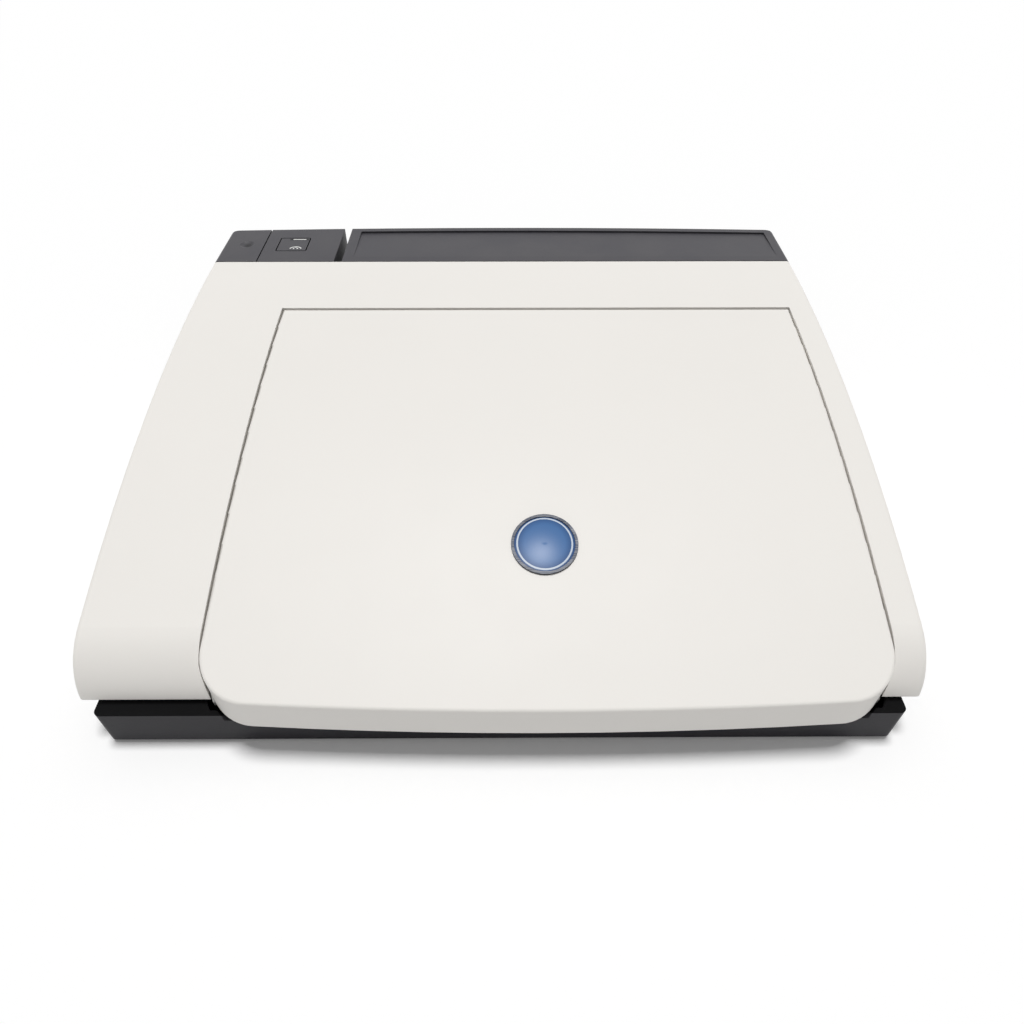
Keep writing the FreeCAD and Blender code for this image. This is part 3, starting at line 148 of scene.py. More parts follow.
def make_moulded_skin():
    """Fine eroded grain of a mould, with slow drifts of tone and gloss."""
    group, given, result = shader_group(
        "moulded_skin",
        [("Colour", COLOUR, (0.5, 0.5, 0.5, 1)), ("Grain", FLOAT, 1500.0), ("Mottle", FLOAT, 0.04),
         ("Rough", FLOAT, 0.5), ("Rough drift", FLOAT, 0.1)],
        [("Colour", COLOUR), ("Rough", FLOAT), ("Height", FLOAT)])
    sockets = given.outputs
    fine = noise(group, sockets["Grain"], 3.0)
    pits = node(group, "ShaderNodeTexVoronoi", {"Vector": object_place(group), "Scale": sockets["Grain"]})
    height = math_node(group, "ADD", scaled(group, fine, FINE_SHARE),
                       scaled(group, pits.outputs["Distance"], PIT_SHARE))
    drift = math_node(group, "SUBTRACT", noise(group, DRIFT_SCALE, 3.0), NOISE_MIDDLE)
    speck = math_node(group, "SUBTRACT", fine, NOISE_MIDDLE)
    tone = math_node(group, "ADD", drift, scaled(group, speck, FINE_SHARE))
    value = spread(group, tone, sockets["Mottle"], 1.0)
    colour = node(group, "ShaderNodeHueSaturation", {"Value": value, "Color": sockets["Colour"]})
    uneven = scaled(group, math_node(group, "ADD", drift, speck), sockets["Rough drift"])
    rough = math_node(group, "ADD", sockets["Rough"], uneven, clamp=True)
    join(group, result, Colour=colour.outputs[0], Rough=rough, Height=height)
    return group


def make_soft_edge():
    """Small rounding of edges in the normal, and where hands have rubbed them."""
    group, given, result = shader_group(
        "soft_edge", [("Radius", FLOAT, 0.4 * MM), ("Rub", FLOAT, 0.5)],
        [("Normal", VECTOR), ("Rubbed", FLOAT)])
    rounded = node(group, "ShaderNodeBevel", {"Radius": given.outputs["Radius"]}, samples=4).outputs[0]
    flat = node(group, "ShaderNodeNewGeometry").outputs["Normal"]
    turn = math_node(group, "SUBTRACT", 1.0, vector_node(group, "DOT_PRODUCT", rounded, flat)["Value"])
    patch = ramp(group, noise(group, RUB_SCALE, 4.0), 0.35, 0.7)
    rubbed = math_node(group, "MULTIPLY", scaled(group, turn, patch), given.outputs["Rub"], clamp=True)
    join(group, result, Normal=rounded, Rubbed=rubbed)
    return group


def make_settled_dust():
    """Where fine dust lies: on faces that look up, in slow patches."""
    group, given, result = shader_group("settled_dust", [("Amount", FLOAT, 0.1)], [("Mask", FLOAT)])
    up = axes_of(group, node(group, "ShaderNodeNewGeometry").outputs["Normal"])["Z"]
    patch = ramp(group, noise(group, DUST_SCALE, 6.0), 0.3, 0.8)
    lying = scaled(group, ramp(group, up, 0.2, 0.9), patch)
    join(group, result, Mask=math_node(group, "MULTIPLY", lying, given.outputs["Amount"], clamp=True))
    return group


def make_drawn_lines():
    """Fine lines of rolled or brushed metal along X."""
    group, given, result = shader_group(
        "drawn_lines", [("Along", FLOAT, 20.0), ("Across", FLOAT, 2600.0)],
        [("Height", FLOAT), ("Shade", FLOAT)])
    across = given.outputs["Across"]
    scale = node(group, "ShaderNodeCombineXYZ", {0: given.outputs["Along"], 1: across, 2: across})
    place = vector_node(group, "MULTIPLY", object_place(group), scale.outputs[0])
    lines = noise(group, 1.0, 3.0, place[0])
    join(group, result, Height=lines, Shade=ramp(group, lines, 0.3, 0.7))
    return group


skin_group = make_moulded_skin()
edge_group = make_soft_edge()
dust_group = make_settled_dust()
lines_group = make_drawn_lines()


def use(tree, group, **values):
    """Place a shared effect in a material with its own values."""
    made = tree.nodes.new("ShaderNodeGroup")
    made.node_tree = group
    for label, value in values.items():
        made.inputs[label.replace("_", " ")].default_value = value
    return made.outputs


# Ways of finishing a surface

def finish_start(name, **fixed):
    """A new material: its tree and its Principled shader, with the fixed socket values set."""
    made = bpy.data.materials.new(name)
    made.use_nodes = True
    shader = made.node_tree.nodes["Principled BSDF"]
    for label, value in fixed.items():
        shader.inputs[label.replace("_", " ")].default_value = value
    return made, made.node_tree, shader


def bump(tree, shader, height, strength, reach, normal=None):
    """Raise the surface by a height, over a softened normal where there is one."""
    inputs = {"Height": height, "Strength": strength, "Distance": reach}
    if normal is not None:
        inputs["Normal"] = normal
    join(tree, shader, Normal=node(tree, "ShaderNodeBump", inputs).outputs[0])


def source_of(shader, label):
    """The socket that feeds one of a shader's inputs."""
    return shader.inputs[label].links[0].from_socket


DUST_COLOUR = srgb(196, 192, 184)
DUST_DULLS = 0.6
MOULD_EDGE = 0.4 * MM
MOULD_RUB = 2.2
ROUGH_DRIFT = 0.1
GRAIN_BUMP = 0.35
GRAIN_DEPTH = 0.03 * MM


def moulded(name, colour, worn, grain, rough, mottle=0.05, depth=GRAIN_DEPTH, dust=0.06, **fixed):
    """Moulded plastic or rubber: eroded grain, rubbed edges and a little dust."""
    made, tree, shader = finish_start(name, **fixed)
    skin = use(tree, skin_group, Colour=colour, Grain=grain, Mottle=mottle, Rough=rough,
               Rough_drift=ROUGH_DRIFT)
    soft = use(tree, edge_group, Radius=MOULD_EDGE, Rub=MOULD_RUB)
    lying = use(tree, dust_group, Amount=dust)["Mask"]
    rubbed = mix_colour(tree, soft["Rubbed"], skin["Colour"], worn)
    dulled = math_node(tree, "ADD", skin["Rough"], scaled(tree, lying, DUST_DULLS), clamp=True)
    join(tree, shader, Base_Color=mix_colour(tree, lying, rubbed, DUST_COLOUR), Roughness=dulled)
    bump(tree, shader, skin["Height"], GRAIN_BUMP, depth, soft["Normal"])
    return made


STAIN_SCALE = 55.0
STAIN_TINT = (0.6, 0.58, 0.55, 1.0)
METAL_EDGE = 0.2 * MM
LINE_BUMP = 0.12
LINE_DEPTH = 0.02 * MM


def rolled_metal(name, colour, rough, across=2600.0):
    """Sheet or turned metal with drawn lines and faint stains."""
    made, tree, shader = finish_start(name, Metallic=1.0)
    lines = use(tree, lines_group, Across=across)
    soft = use(tree, edge_group, Radius=METAL_EDGE, Rub=1.0)
    stain = ramp(tree, noise(tree, STAIN_SCALE, 5.0), 0.45, 0.75)
    stained = [part * share for part, share in zip(colour, STAIN_TINT)]
    dull = mix_colour(tree, scaled(tree, stain, 0.35), colour, stained)
    bright = mix_colour(tree, scaled(tree, lines["Shade"], 0.15), dull, WHITE)
    uneven = math_node(tree, "ADD", scaled(tree, lines["Shade"], 0.14), scaled(tree, stain, 0.12))
    join(tree, shader, Base_Color=bright, Roughness=math_node(tree, "ADD", uneven, rough, clamp=True))
    bump(tree, shader, lines["Height"], LINE_BUMP, LINE_DEPTH, soft["Normal"])
    return made


LEDGE_LEVEL = 23.8 * MM
LEDGE_BLEND = 0.3 * MM
# Painted shade: this near-black stands for the shade under the case's overhang.
LEDGE_PAINTED_SHADE = srgb(9, 9, 10)


def paint_ledge_shade(made):
    """Painted shade: matt black above a level, so the ledge and the rim inside the base's shadow gap look
    as dark as the shade under the case.
    """
    tree = made.node_tree
    shader = tree.nodes["Principled BSDF"]
    mask = ramp(tree, axes_of(tree, object_place(tree))["Z"], LEDGE_LEVEL - LEDGE_BLEND, LEDGE_LEVEL)
    black = mix_colour(tree, mask, source_of(shader, "Base Color"), LEDGE_PAINTED_SHADE)
    matt = math_node(tree, "MAXIMUM", source_of(shader, "Roughness"), mask)
    join(tree, shader, Base_Color=black, Roughness=matt)


def seen_from_above(tree, centre):
    """A point's distance from a centre and its offset from it, both in plan."""
    away = vector_node(tree, "SUBTRACT", object_place(tree), centre)[0]
    offset = vector_node(tree, "MULTIPLY", away, (1, 1, 0))[0]
    return vector_node(tree, "LENGTH", offset)["Value"], offset


DIMPLE_EDGE = 4.2 * MM
DIMPLE_FLOOR = 0.9 * MM
# Painted shade: the dark colour stands for the shade inside the finger dimple.
DIMPLE_SHADE = srgb(16, 16, 18)


def dimple_painted_shade(made, centre):
    """Painted shade: darken a finger dimple towards its middle, as shade falls in its hollow."""
    tree = made.node_tree
    shader = tree.nodes["Principled BSDF"]
    reach, _ = seen_from_above(tree, centre)
    mask = scaled(tree, ramp(tree, reach, DIMPLE_EDGE, DIMPLE_FLOOR), 0.9)
    join(tree, shader, Base_Color=mix_colour(tree, mask, source_of(shader, "Base Color"), DIMPLE_SHADE))


RAY_STRETCH = 26.0
BADGE_SHADE = (9.0 * MM, 14.5 * MM)
RING_START = (12.6 * MM, 12.8 * MM)
RING_END = (13.4 * MM, 13.6 * MM)


def badge_enamel(name, centre):
    """Blue enamel: fine rays from the middle, a darker edge and one pale ring."""
    made, tree, shader = finish_start(name, Specular_IOR_Level=0.25)
    reach, offset = seen_from_above(tree, centre)
    axes = axes_of(tree, offset)
    turn = scaled(tree, math_node(tree, "ARCTAN2", axes["Y"], axes["X"]), RAY_STRETCH)
    around = node(tree, "ShaderNodeCombineXYZ", {0: turn, 1: 0.0, 2: 0.0})
    rays = noise(tree, 3.0, 2.0, around.outputs[0])
    body = mix_colour(tree, rays, srgb(52, 98, 152), srgb(74, 118, 172))
    shaded = mix_colour(tree, ramp(tree, reach, *BADGE_SHADE), body, srgb(40, 76, 126))
    ring = math_node(tree, "SUBTRACT", ramp(tree, reach, *RING_START), ramp(tree, reach, *RING_END),
                     clamp=True)
    join(tree, shader, Base_Color=mix_colour(tree, ring, shaded, srgb(206, 216, 228)),
         Roughness=spread(tree, rays, 0.2, 0.22))
    bump(tree, shader, rays, 0.08, 0.02 * MM)
    return made


def dark_pane(name):
    """Dark pane of the display under a hard coat, with faint wipe marks."""
    made, tree, shader = finish_start(name, Specular_IOR_Level=0.5, Coat_Weight=0.3, Coat_Roughness=0.05)
    wipe = noise(tree, 30.0, 5.0)
    join(tree, shader, Base_Color=mix_colour(tree, wipe, srgb(16, 18, 21), srgb(27, 30, 34)),
         Roughness=spread(tree, wipe, 0.16, 0.05))
    return made


def circuit_board(name):
    """Green solder mask with copper tracks under it and bare pads."""
    made, tree, shader = finish_start(name, Coat_Weight=0.3)
    place = object_place(tree)
    tracks = node(tree, "ShaderNodeTexBrick", {
        "Vector": place, "Scale": 90.0, "Mortar Size": 0.07, "Color1": srgb(30, 92, 58),
        "Color2": srgb(24, 78, 50), "Mortar": srgb(58, 128, 84)}).outputs
    cell = node(tree, "ShaderNodeTexVoronoi", {"Vector": place, "Scale": 150.0})
    pads = ramp(tree, cell.outputs["Distance"], 0.16, 0.12)
    join(tree, shader, Base_Color=mix_colour(tree, pads, tracks["Color"], srgb(196, 190, 170)),
         Metallic=scaled(tree, pads, 0.8), Roughness=spread(tree, noise(tree, 80.0), 0.2, 0.3))
    bump(tree, shader, tracks["Fac"], 0.2, 0.03 * MM)
    return made


GRID_LINES = ((1.0 * MM, 0.09), (5.0 * MM, 0.05))
LEAF_THICK = 0.4 * MM


def chart_paper(name):
    """White recording paper: a fine and a coarse printed grid, and the edges of its folded leaves."""
    made, tree, shader = finish_start(name)
    axes = axes_of(tree, object_place(tree))
    grid = 0.0
    for step, width in GRID_LINES:
        for axis in ("X", "Y"):
            share = math_node(tree, "FRACT", math_node(tree, "DIVIDE", axes[axis], step))
            grid = math_node(tree, "MAXIMUM", grid, math_node(tree, "LESS_THAN", share, width))
    leaf = math_node(tree, "FRACT", math_node(tree, "DIVIDE", axes["Z"], LEAF_THICK))
    white = mix_colour(tree, scaled(tree, leaf, 0.3), srgb(244, 242, 238), srgb(206, 202, 196))
    join(tree, shader, Base_Color=mix_colour(tree, scaled(tree, grid, 0.55), white, srgb(226, 140, 140)),
         Roughness=spread(tree, noise(tree, 300.0), 0.2, 0.6))
    bump(tree, shader, leaf, 0.3, 0.1 * MM)
    return made


def printed_ink(name, colour):
    """Printed ink: a little uneven in tone and gloss."""
    made, tree, shader = finish_start(name, Specular_IOR_Level=0.3)
    film = noise(tree, 900.0, 3.0)
    thin = (*(part * 0.86 for part in colour[:3]), 1.0)
    join(tree, shader, Base_Color=mix_colour(tree, film, thin, colour),
         Roughness=spread(tree, film, 0.25, 0.4))
    return made


# The machine's finishes

def strip_plastic(name):
    """Dark plastic of the rear strip."""
    return moulded(name, srgb(62, 61, 66), srgb(100, 99, 104), 1300.0, 0.5, mottle=0.1, dust=0.03,
                   Specular_IOR_Level=0.3)


cream_shell = moulded("cream_shell", srgb(240, 237, 232), srgb(245, 243, 239), 1500.0, 0.5, mottle=0.03,
                      dust=0.02, Specular_IOR_Level=0.3)
dark_trim = strip_plastic("dark_trim")
# door_trim is the strip's plastic again, here to carry a painted shade in the finger dimple.
door_trim = strip_plastic("door_trim")
base_black = moulded("base_black", srgb(43, 42, 46), srgb(78, 77, 81), 1200.0, 0.48, mottle=0.1, dust=0.03,
                     Specular_IOR_Level=0.18)
foot_rubber = moulded("foot_rubber", srgb(34, 34, 36), srgb(70, 70, 72), 900.0, 0.8, depth=0.08 * MM)
key_cream = moulded("key_cream", srgb(222, 219, 210), srgb(238, 236, 230), 1700.0, 0.55)
key_grey = moulded("key_grey", srgb(132, 136, 142), srgb(176, 180, 186), 1700.0, 0.55)
deck_grey = moulded("deck_grey", srgb(188, 187, 183), srgb(214, 213, 209), 1400.0, 0.52)
power_green = moulded("power_green", srgb(60, 142, 92), srgb(120, 190, 146), 1700.0, 0.5)
socket_black = moulded("socket_black", srgb(30, 30, 33), srgb(80, 80, 84), 1500.0, 0.42)
card_black = moulded("card_black", srgb(36, 38, 46), srgb(90, 92, 100), 1500.0, 0.4)
gear_white = moulded("gear_white", srgb(228, 226, 214), srgb(240, 239, 232), 1200.0, 0.4,
                     Subsurface_Weight=0.1)
platen_black = moulded("platen_rubber", srgb(44, 44, 47), srgb(80, 80, 84), 1100.0, 0.75, depth=0.06 * MM)
cell_wrap = moulded("cell_wrap", srgb(38, 74, 128), srgb(110, 140, 180), 700.0, 0.34, Coat_Weight=0.4)
steel = rolled_metal("steel", srgb(186, 188, 190), 0.24)
aluminium = rolled_metal("aluminium", srgb(206, 208, 211), 0.3, across=1600.0)
earth_brass = rolled_metal("earth_brass", srgb(206, 176, 104), 0.22)
contact_gold = rolled_metal("contact_gold", srgb(222, 190, 112), 0.18)
rim_dark = rolled_metal("badge_rim", srgb(26, 33, 48), 0.45, across=3200.0)
lcd_stack = rolled_metal("lcd_stack", srgb(150, 152, 156), 0.35, across=1200.0)
badge_low, badge_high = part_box("lid_badge")
badge_blue = badge_enamel("badge_blue", (badge_low + badge_high) / 2)
pane = dark_pane("pane")
board_green = circuit_board("board_green")
paper_white = chart_paper("paper_white")
ink_dark = printed_ink("ink_dark", srgb(52, 54, 58))
ink_white = printed_ink("ink_white", srgb(238, 238, 236))
# Painted shade: near-black ink that stands for the shade inside the button's slot.
slot_painted_shade = printed_ink("slot_painted_shade", srgb(16, 16, 18))

DIMPLE_INSET = 16.5 * MM
door_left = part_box("card_door")[0].x
button_low, button_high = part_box("strip_button")
button_middle = (button_low + button_high) / 2
# Paint shade into the card door's finger dimple.
dimple_painted_shade(door_trim, Vector((door_left + DIMPLE_INSET, button_middle.y, 0.0)))
# Paint the shade of the base's shadow gap onto its ledge and rim.
paint_ledge_shade(base_black)

node_finishes = (
    (cream_shell, ("upper_case", "lid_shell")),
    (deck_grey, ("lid_bezel", "keyboard_deck")),
    (dark_trim, ("rear_housing", "writer_door", "strip_button")),
    (door_trim, ("card_door",)),
    (base_black, ("base_tray",)),
    (foot_rubber, ("rubber_feet", "lid_bumpers")),
    (key_cream, ("key_mat",)),
    (key_grey, (*FUNCTION_KEYS, *WRITER_KEYS)),
    (power_green, ("power_key",)),
    (steel, ("base_screws", "deck_screws", "bezel_screws", "lid_leaves", "lid_arms", "lid_pins",
             "card_door_pin", "door_pins", "door_brackets", "tear_bar", "writer_frame", "platen_shaft")),
    (aluminium, ("print_head", "power_supply", "drive_motor")),
    (gear_white, ("platen_bushes", "platen_gear", "motor_pinion")),
    (platen_black, ("platen_rubber",)),
    (socket_black, ("paper_tray", "strip_switch", "mains_inlet", "card_socket", "patient_socket",
                    "data_sockets", "speaker")),
    (card_black, ("memory_card",)),
    (earth_brass, ("earth_stud",)),
    (cell_wrap, ("battery_pack",)),
    (rim_dark, ("badge_rim",)),
    (badge_blue, ("lid_badge",)),
    (pane, ("lcd_window",)),
    (lcd_stack, ("lcd_panel",)),
    (board_green, ("main_board", "keyboard_board")),
    (paper_white, ("paper_pack",)),
)
for finish, node_names in node_finishes:
    for node_name in node_names:
        surface = nodes[node_name].data.materials
        surface.clear()
        surface.append(finish)


# Camera at the photograph's view

PHOTO_PIXELS = 1024
SENSOR_MM = 36.0
FOCAL_PIXELS = 740.0
EYE = Vector((3.8, -338.3, 322.8)) * MM
PITCH = math.radians(45.01)
YAW = math.radians(0.35)
ROLL = math.radians(0.08)
NEAREST = 10.0 * MM


def photo_camera():
    ahead = Vector((math.sin(YAW) * math.cos(PITCH), math.cos(YAW) * math.cos(PITCH), -math.sin(PITCH)))
    level = Vector((math.cos(YAW), -math.sin(YAW), 0.0))
    above = level.cross(ahead)
    right = math.cos(ROLL) * level + math.sin(ROLL) * above
    up = math.cos(ROLL) * above - math.sin(ROLL) * level
    data = bpy.data.cameras.new("photo_camera")
    data.sensor_width = SENSOR_MM
    data.lens = FOCAL_PIXELS / PHOTO_PIXELS * SENSOR_MM
    data.clip_start = NEAREST
    made = bpy.data.objects.new("photo_camera", data)
    turn = Matrix((right, up, -ahead)).transposed().to_4x4()
    made.matrix_world = Matrix.Translation(EYE) @ turn
    bpy.context.scene.collection.objects.link(made)
    bpy.context.scene.camera = made


# Studio: pale floor, white surroundings, light from above

WORLD_LIGHT = 0.25
WORLD_SEEN = 1.0
FLOOR_REACH = 6.0
FLOOR_GREY = (0.95, 0.95, 0.95, 1.0)
FLOOR_GLOW = 0.08
LAMP_AIM = (0.0, -0.08, -1.0)
LAMP_WIDTH = math.radians(14.0)
LAMP_STRENGTH = 2.26


def white_to_camera(tree):
    """1 for rays that see the surroundings straight, in gloss or through glass."""
    path = node(tree, "ShaderNodeLightPath").outputs
    seen = math_node(tree, "MAXIMUM", path["Is Camera Ray"], path["Is Glossy Ray"])
    return math_node(tree, "MAXIMUM", seen, path["Is Transmission Ray"])


def studio_world():
    world = bpy.data.worlds.new("studio")
    world.use_nodes = True
    tree = world.node_tree
    back = tree.nodes["Background"]
    back.inputs["Color"].default_value = WHITE
    strength = node(tree, "ShaderNodeMapRange", {0: white_to_camera(tree), 3: WORLD_LIGHT, 4: WORLD_SEEN})
    join(tree, back, Strength=strength.outputs[0])
    bpy.context.scene.world = world


def studio_floor():
    """White floor that keeps the shadow, lifted a little for the camera alone."""
    corners = [(-1, -1), (1, -1), (1, 1), (-1, 1)]
    mesh = bpy.data.meshes.new("floor")
    mesh.from_pydata([(x * FLOOR_REACH, y * FLOOR_REACH, 0) for x, y in corners], [], [(0, 1, 2, 3)])
    paint, tree, shader = finish_start("floor_white", Base_Color=FLOOR_GREY, Roughness=0.9,
                                       Specular_IOR_Level=0.0, Emission_Color=WHITE)
    seen = node(tree, "ShaderNodeLightPath").outputs["Is Camera Ray"]
    join(tree, shader, Emission_Strength=scaled(tree, seen, FLOOR_GLOW))
    mesh.materials.append(paint)
    made = bpy.data.objects.new("floor", mesh)
    bpy.context.scene.collection.objects.link(made)


def overhead_lamp():
    """Light from one part of the sky, wide enough for soft shadow edges."""
    data = bpy.data.lights.new("overhead", "SUN")
    data.angle = LAMP_WIDTH
    data.energy = LAMP_STRENGTH
    made = bpy.data.objects.new("overhead", data)
    made.rotation_euler = Vector(LAMP_AIM).to_track_quat("-Z", "Y").to_euler()
    bpy.context.scene.collection.objects.link(made)


photo_camera()
studio_world()
studio_floor()
overhead_lamp()
bpy.context.scene.view_settings.view_transform = "Standard"


# Helpers for the pieces added to the solids

MERGE_REACH = 0.01 * MM


def add_piece(name, mesh, body, finish):
    made = bpy.data.objects.new(name, mesh)
    bpy.context.scene.collection.objects.link(made)
    mesh.materials.clear()
    mesh.materials.append(finish)
    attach(made, body)
    return made


def mesh_of(name, work):
    """A mesh from a bmesh, which is freed."""
    mesh = bpy.data.meshes.new(name)
    work.to_mesh(mesh)
    work.free()
    return mesh


def evaluated_mesh(holder):
    """A plain mesh of what an object's curve or modifiers make."""
    return bpy.data.meshes.new_from_object(holder.evaluated_get(bpy.context.evaluated_depsgraph_get()))


def box_of(points):
    """Low and high corners of the box round some points."""
    return [Vector([pick(point[axis] for point in points) for axis in range(3)]) for pick in (min, max)]


def solids_of(node_name):
    """The corner points of each separate solid of a CAD node."""
    work = bmesh.new()
    work.from_mesh(nodes[node_name].data)
    bmesh.ops.remove_doubles(work, verts=work.verts, dist=MERGE_REACH)
    left = set(work.verts)
    found = []
    while left:
        queue = [left.pop()]
        points = []
        while queue:
            vert = queue.pop()
            points.append(vert.co.copy())
            for edge in vert.link_edges:
                other = edge.other_vert(vert)
                if other in left:
                    left.remove(other)
                    queue.append(other)
        found.append(points)
    work.free()
    return sorted(found, key=lambda points: [round(low, 4) for low in box_of(points)[0]])


# Geometry Nodes: shapes on points that carry a turn and a size

def geometry_tree(name, inputs):
    tree = bpy.data.node_groups.new(name, "GeometryNodeTree")
    tree.interface.new_socket("Geometry", in_out="INPUT", socket_type="NodeSocketGeometry")
    for label, kind, value in inputs:
        tree.interface.new_socket(label, in_out="INPUT", socket_type=kind).default_value = value
    tree.interface.new_socket("Finish", in_out="INPUT", socket_type="NodeSocketMaterial")
    tree.interface.new_socket("Geometry", in_out="OUTPUT", socket_type="NodeSocketGeometry")
    return tree, tree.nodes.new("NodeGroupInput").outputs, tree.nodes.new("NodeGroupOutput")


def stand_on_points(tree, given, result, shape):
    """Put a shape on every point, turned and sized by the point's own values, and end the tree."""
    turn = node(tree, "GeometryNodeInputNamedAttribute", {"Name": "turn"}, data_type="FLOAT_VECTOR")
    size = node(tree, "GeometryNodeInputNamedAttribute", {"Name": "size"}, data_type="FLOAT_VECTOR")
    placed = node(tree, "GeometryNodeInstanceOnPoints", {
        "Points": given["Geometry"], "Instance": shape, "Rotation": turn.outputs[0],
        "Scale": size.outputs[0]})
    real = node(tree, "GeometryNodeRealizeInstances", {0: placed.outputs[0]})
    painted = node(tree, "GeometryNodeSetMaterial", {
        "Geometry": real.outputs[0], "Material": given["Finish"]})
    join(tree, result, Geometry=painted.outputs[0])


def cylinder(tree, sides, radius, depth):
    made = node(tree, "GeometryNodeMeshCylinder", {"Vertices": sides, "Radius": radius, "Depth": depth})
    return made.outputs[0]


def cone(tree, sides, top, depth):
    made = node(tree, "GeometryNodeMeshCone", {
        "Vertices": sides, "Radius Top": top, "Radius Bottom": 1.0, "Depth": depth})
    return made.outputs[0]


def raised(tree, shape, height):
    """Move a shape along Z."""
    place = node(tree, "ShaderNodeCombineXYZ", {2: height})
    made = node(tree, "GeometryNodeTransform", {"Geometry": shape, "Translation": place.outputs[0]})
    return made.outputs[0]


def joined(tree, *shapes):
    both = tree.nodes.new("GeometryNodeJoinGeometry")
    for shape in shapes:
        tree.links.new(shape, both.inputs[0])
    return both.outputs[0]


RECESS_LONG = 1.15
RECESS_WIDE = 0.24
SHANK_OVERLAP = 0.9


def make_screw_tree():
    """Pan-head screw along Z with its head's top at the origin: a cross recess and a shank."""
    tree, given, result = geometry_tree("cross_screws", [
        ("Head radius", FLOAT, 2.8 * MM), ("Head height", FLOAT, 1.8 * MM),
        ("Shank radius", FLOAT, 1.5 * MM), ("Length", FLOAT, 20.0 * MM)])
    height = given["Head height"]
    head = cylinder(tree, 32, given["Head radius"], height)
    head = raised(tree, head, scaled(tree, height, -0.5))
    long = scaled(tree, given["Head radius"], RECESS_LONG)
    wide = scaled(tree, given["Head radius"], RECESS_WIDE)
    cross = node(tree, "GeometryNodeMeshBoolean", operation="UNION")
    for first, second in ((long, wide), (wide, long)):
        size = node(tree, "ShaderNodeCombineXYZ", {0: first, 1: second, 2: height})
        bar = node(tree, "GeometryNodeMeshCube", {"Size": size.outputs[0]})
        tree.links.new(bar.outputs[0], cross.inputs["Mesh 2"])
    cut = node(tree, "GeometryNodeMeshBoolean", {"Mesh 1": head}, operation="DIFFERENCE")
    tree.links.new(cross.outputs[0], cut.inputs["Mesh 2"])
    shank = cylinder(tree, 20, given["Shank radius"], given["Length"])
    down = math_node(tree, "SUBTRACT", scaled(tree, given["Length"], -0.5),
                     scaled(tree, height, SHANK_OVERLAP))
    shank = raised(tree, shank, down)
    stand_on_points(tree, given, result, joined(tree, cut.outputs[0], shank))
    return tree


def make_pin_tree():
    """Contact pin of unit size along Z, with a cone for its tip."""
    tree, given, result = geometry_tree("contact_pins", [
        ("Sides", "NodeSocketInt", 12), ("Tip", FLOAT, 0.12)])
    body = raised(tree, cylinder(tree, given["Sides"], 1.0, 1.0), 0.5)
    tip = raised(tree, cone(tree, given["Sides"], 0.5, given["Tip"]), 1.0)
    stand_on_points(tree, given, result, joined(tree, body, tip))
    return tree


def make_tooth_tree():
    """Flat pointed tooth of unit size, for the tear edge."""
    tree, given, result = geometry_tree("tear_teeth", [("Thick", FLOAT, 0.3)])
    size = node(tree, "ShaderNodeCombineXYZ", {0: 1.0, 1: given["Thick"], 2: 1.0})
    flat = node(tree, "GeometryNodeTransform", {
        "Geometry": cone(tree, 4, 0.0, 1.0), "Scale": size.outputs[0]})
    stand_on_points(tree, given, result, flat.outputs[0])
    return tree


def grown(name, tree, points, values, body, finish):
    """Run a tree on points, each a place, a turn and a size, and keep the result as a plain mesh."""
    mesh = bpy.data.meshes.new(name + "_points")
    mesh.from_pydata([place for place, _, _ in points], [], [])
    for label, index in (("turn", 1), ("size", 2)):
        layer = mesh.attributes.new(label, "FLOAT_VECTOR", "POINT")
        for spot, row in zip(layer.data, points):
            spot.vector = row[index]
    holder = bpy.data.objects.new(name + "_points", mesh)
    bpy.context.scene.collection.objects.link(holder)
    modifier = holder.modifiers.new("grow", "NODES")
    modifier.node_group = tree
    settings = {**values, "Finish": finish}
    for item in tree.interface.items_tree:
        if item.in_out == "INPUT" and item.name in settings:
            modifier[item.identifier] = settings[item.name]
    result = evaluated_mesh(holder)
    holder.modifiers.remove(modifier)
    bpy.data.objects.remove(holder)
    result.name = name
    return add_piece(name, result, body, finish)


def turn_to(direction):
    """The turn that points Z in a direction."""
    return tuple(Vector(direction).to_track_quat("Z", "Y").to_euler())


screw_tree = make_screw_tree()
pin_tree = make_pin_tree()
tooth_tree = make_tooth_tree()


# Screws

DECK_FRONT = Vector((0.0, -161.5, 24.5)) * MM
DECK_SLOPE = math.radians(11.0)
deck_plane = Matrix.Translation(DECK_FRONT) @ Matrix.Rotation(DECK_SLOPE, 4, "X")
deck_out = deck_plane.to_3x3() @ Vector((0, 0, 1))

CASE_HEAD = (2.8 * MM, 1.8 * MM)
PLATE_HEAD = (2.0 * MM, 1.0 * MM)
COVER_HEAD = (2.8 * MM, 1.0 * MM)
COVER_OUT = (0, 0.18, -1)
SHANK_RADIUS = 1.5 * MM


def screws(name, node_name, out, head, body):
    """Screws in the places of a CAD node's screws, heads towards out, each as long as the longest."""
    out = Vector(out).normalized()
    radius, height = head
    rows = []
    lengths = []
    for points in solids_of(node_name):
        along = [point.dot(out) for point in points]
        middle = sum(points, Vector()) / len(points)
        top = middle + out * (max(along) - middle.dot(out))
        rows.append((top, turn_to(out), (1, 1, 1)))
        lengths.append(max(along) - min(along) - height)
    values = {"Head radius": radius, "Head height": height, "Shank radius": SHANK_RADIUS,
              "Length": max(lengths)}
    made = grown(name, screw_tree, rows, values, body, steel)
    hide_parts(node_name)


screws("case_screws", "base_screws", (0, 0, -1), CASE_HEAD, "chassis")
screws("plate_screws", "deck_screws", deck_out, PLATE_HEAD, "chassis")
screws("cover_screws", "bezel_screws", COVER_OUT, COVER_HEAD, "lid")


# Contacts in the sockets, and the tear bar's teeth

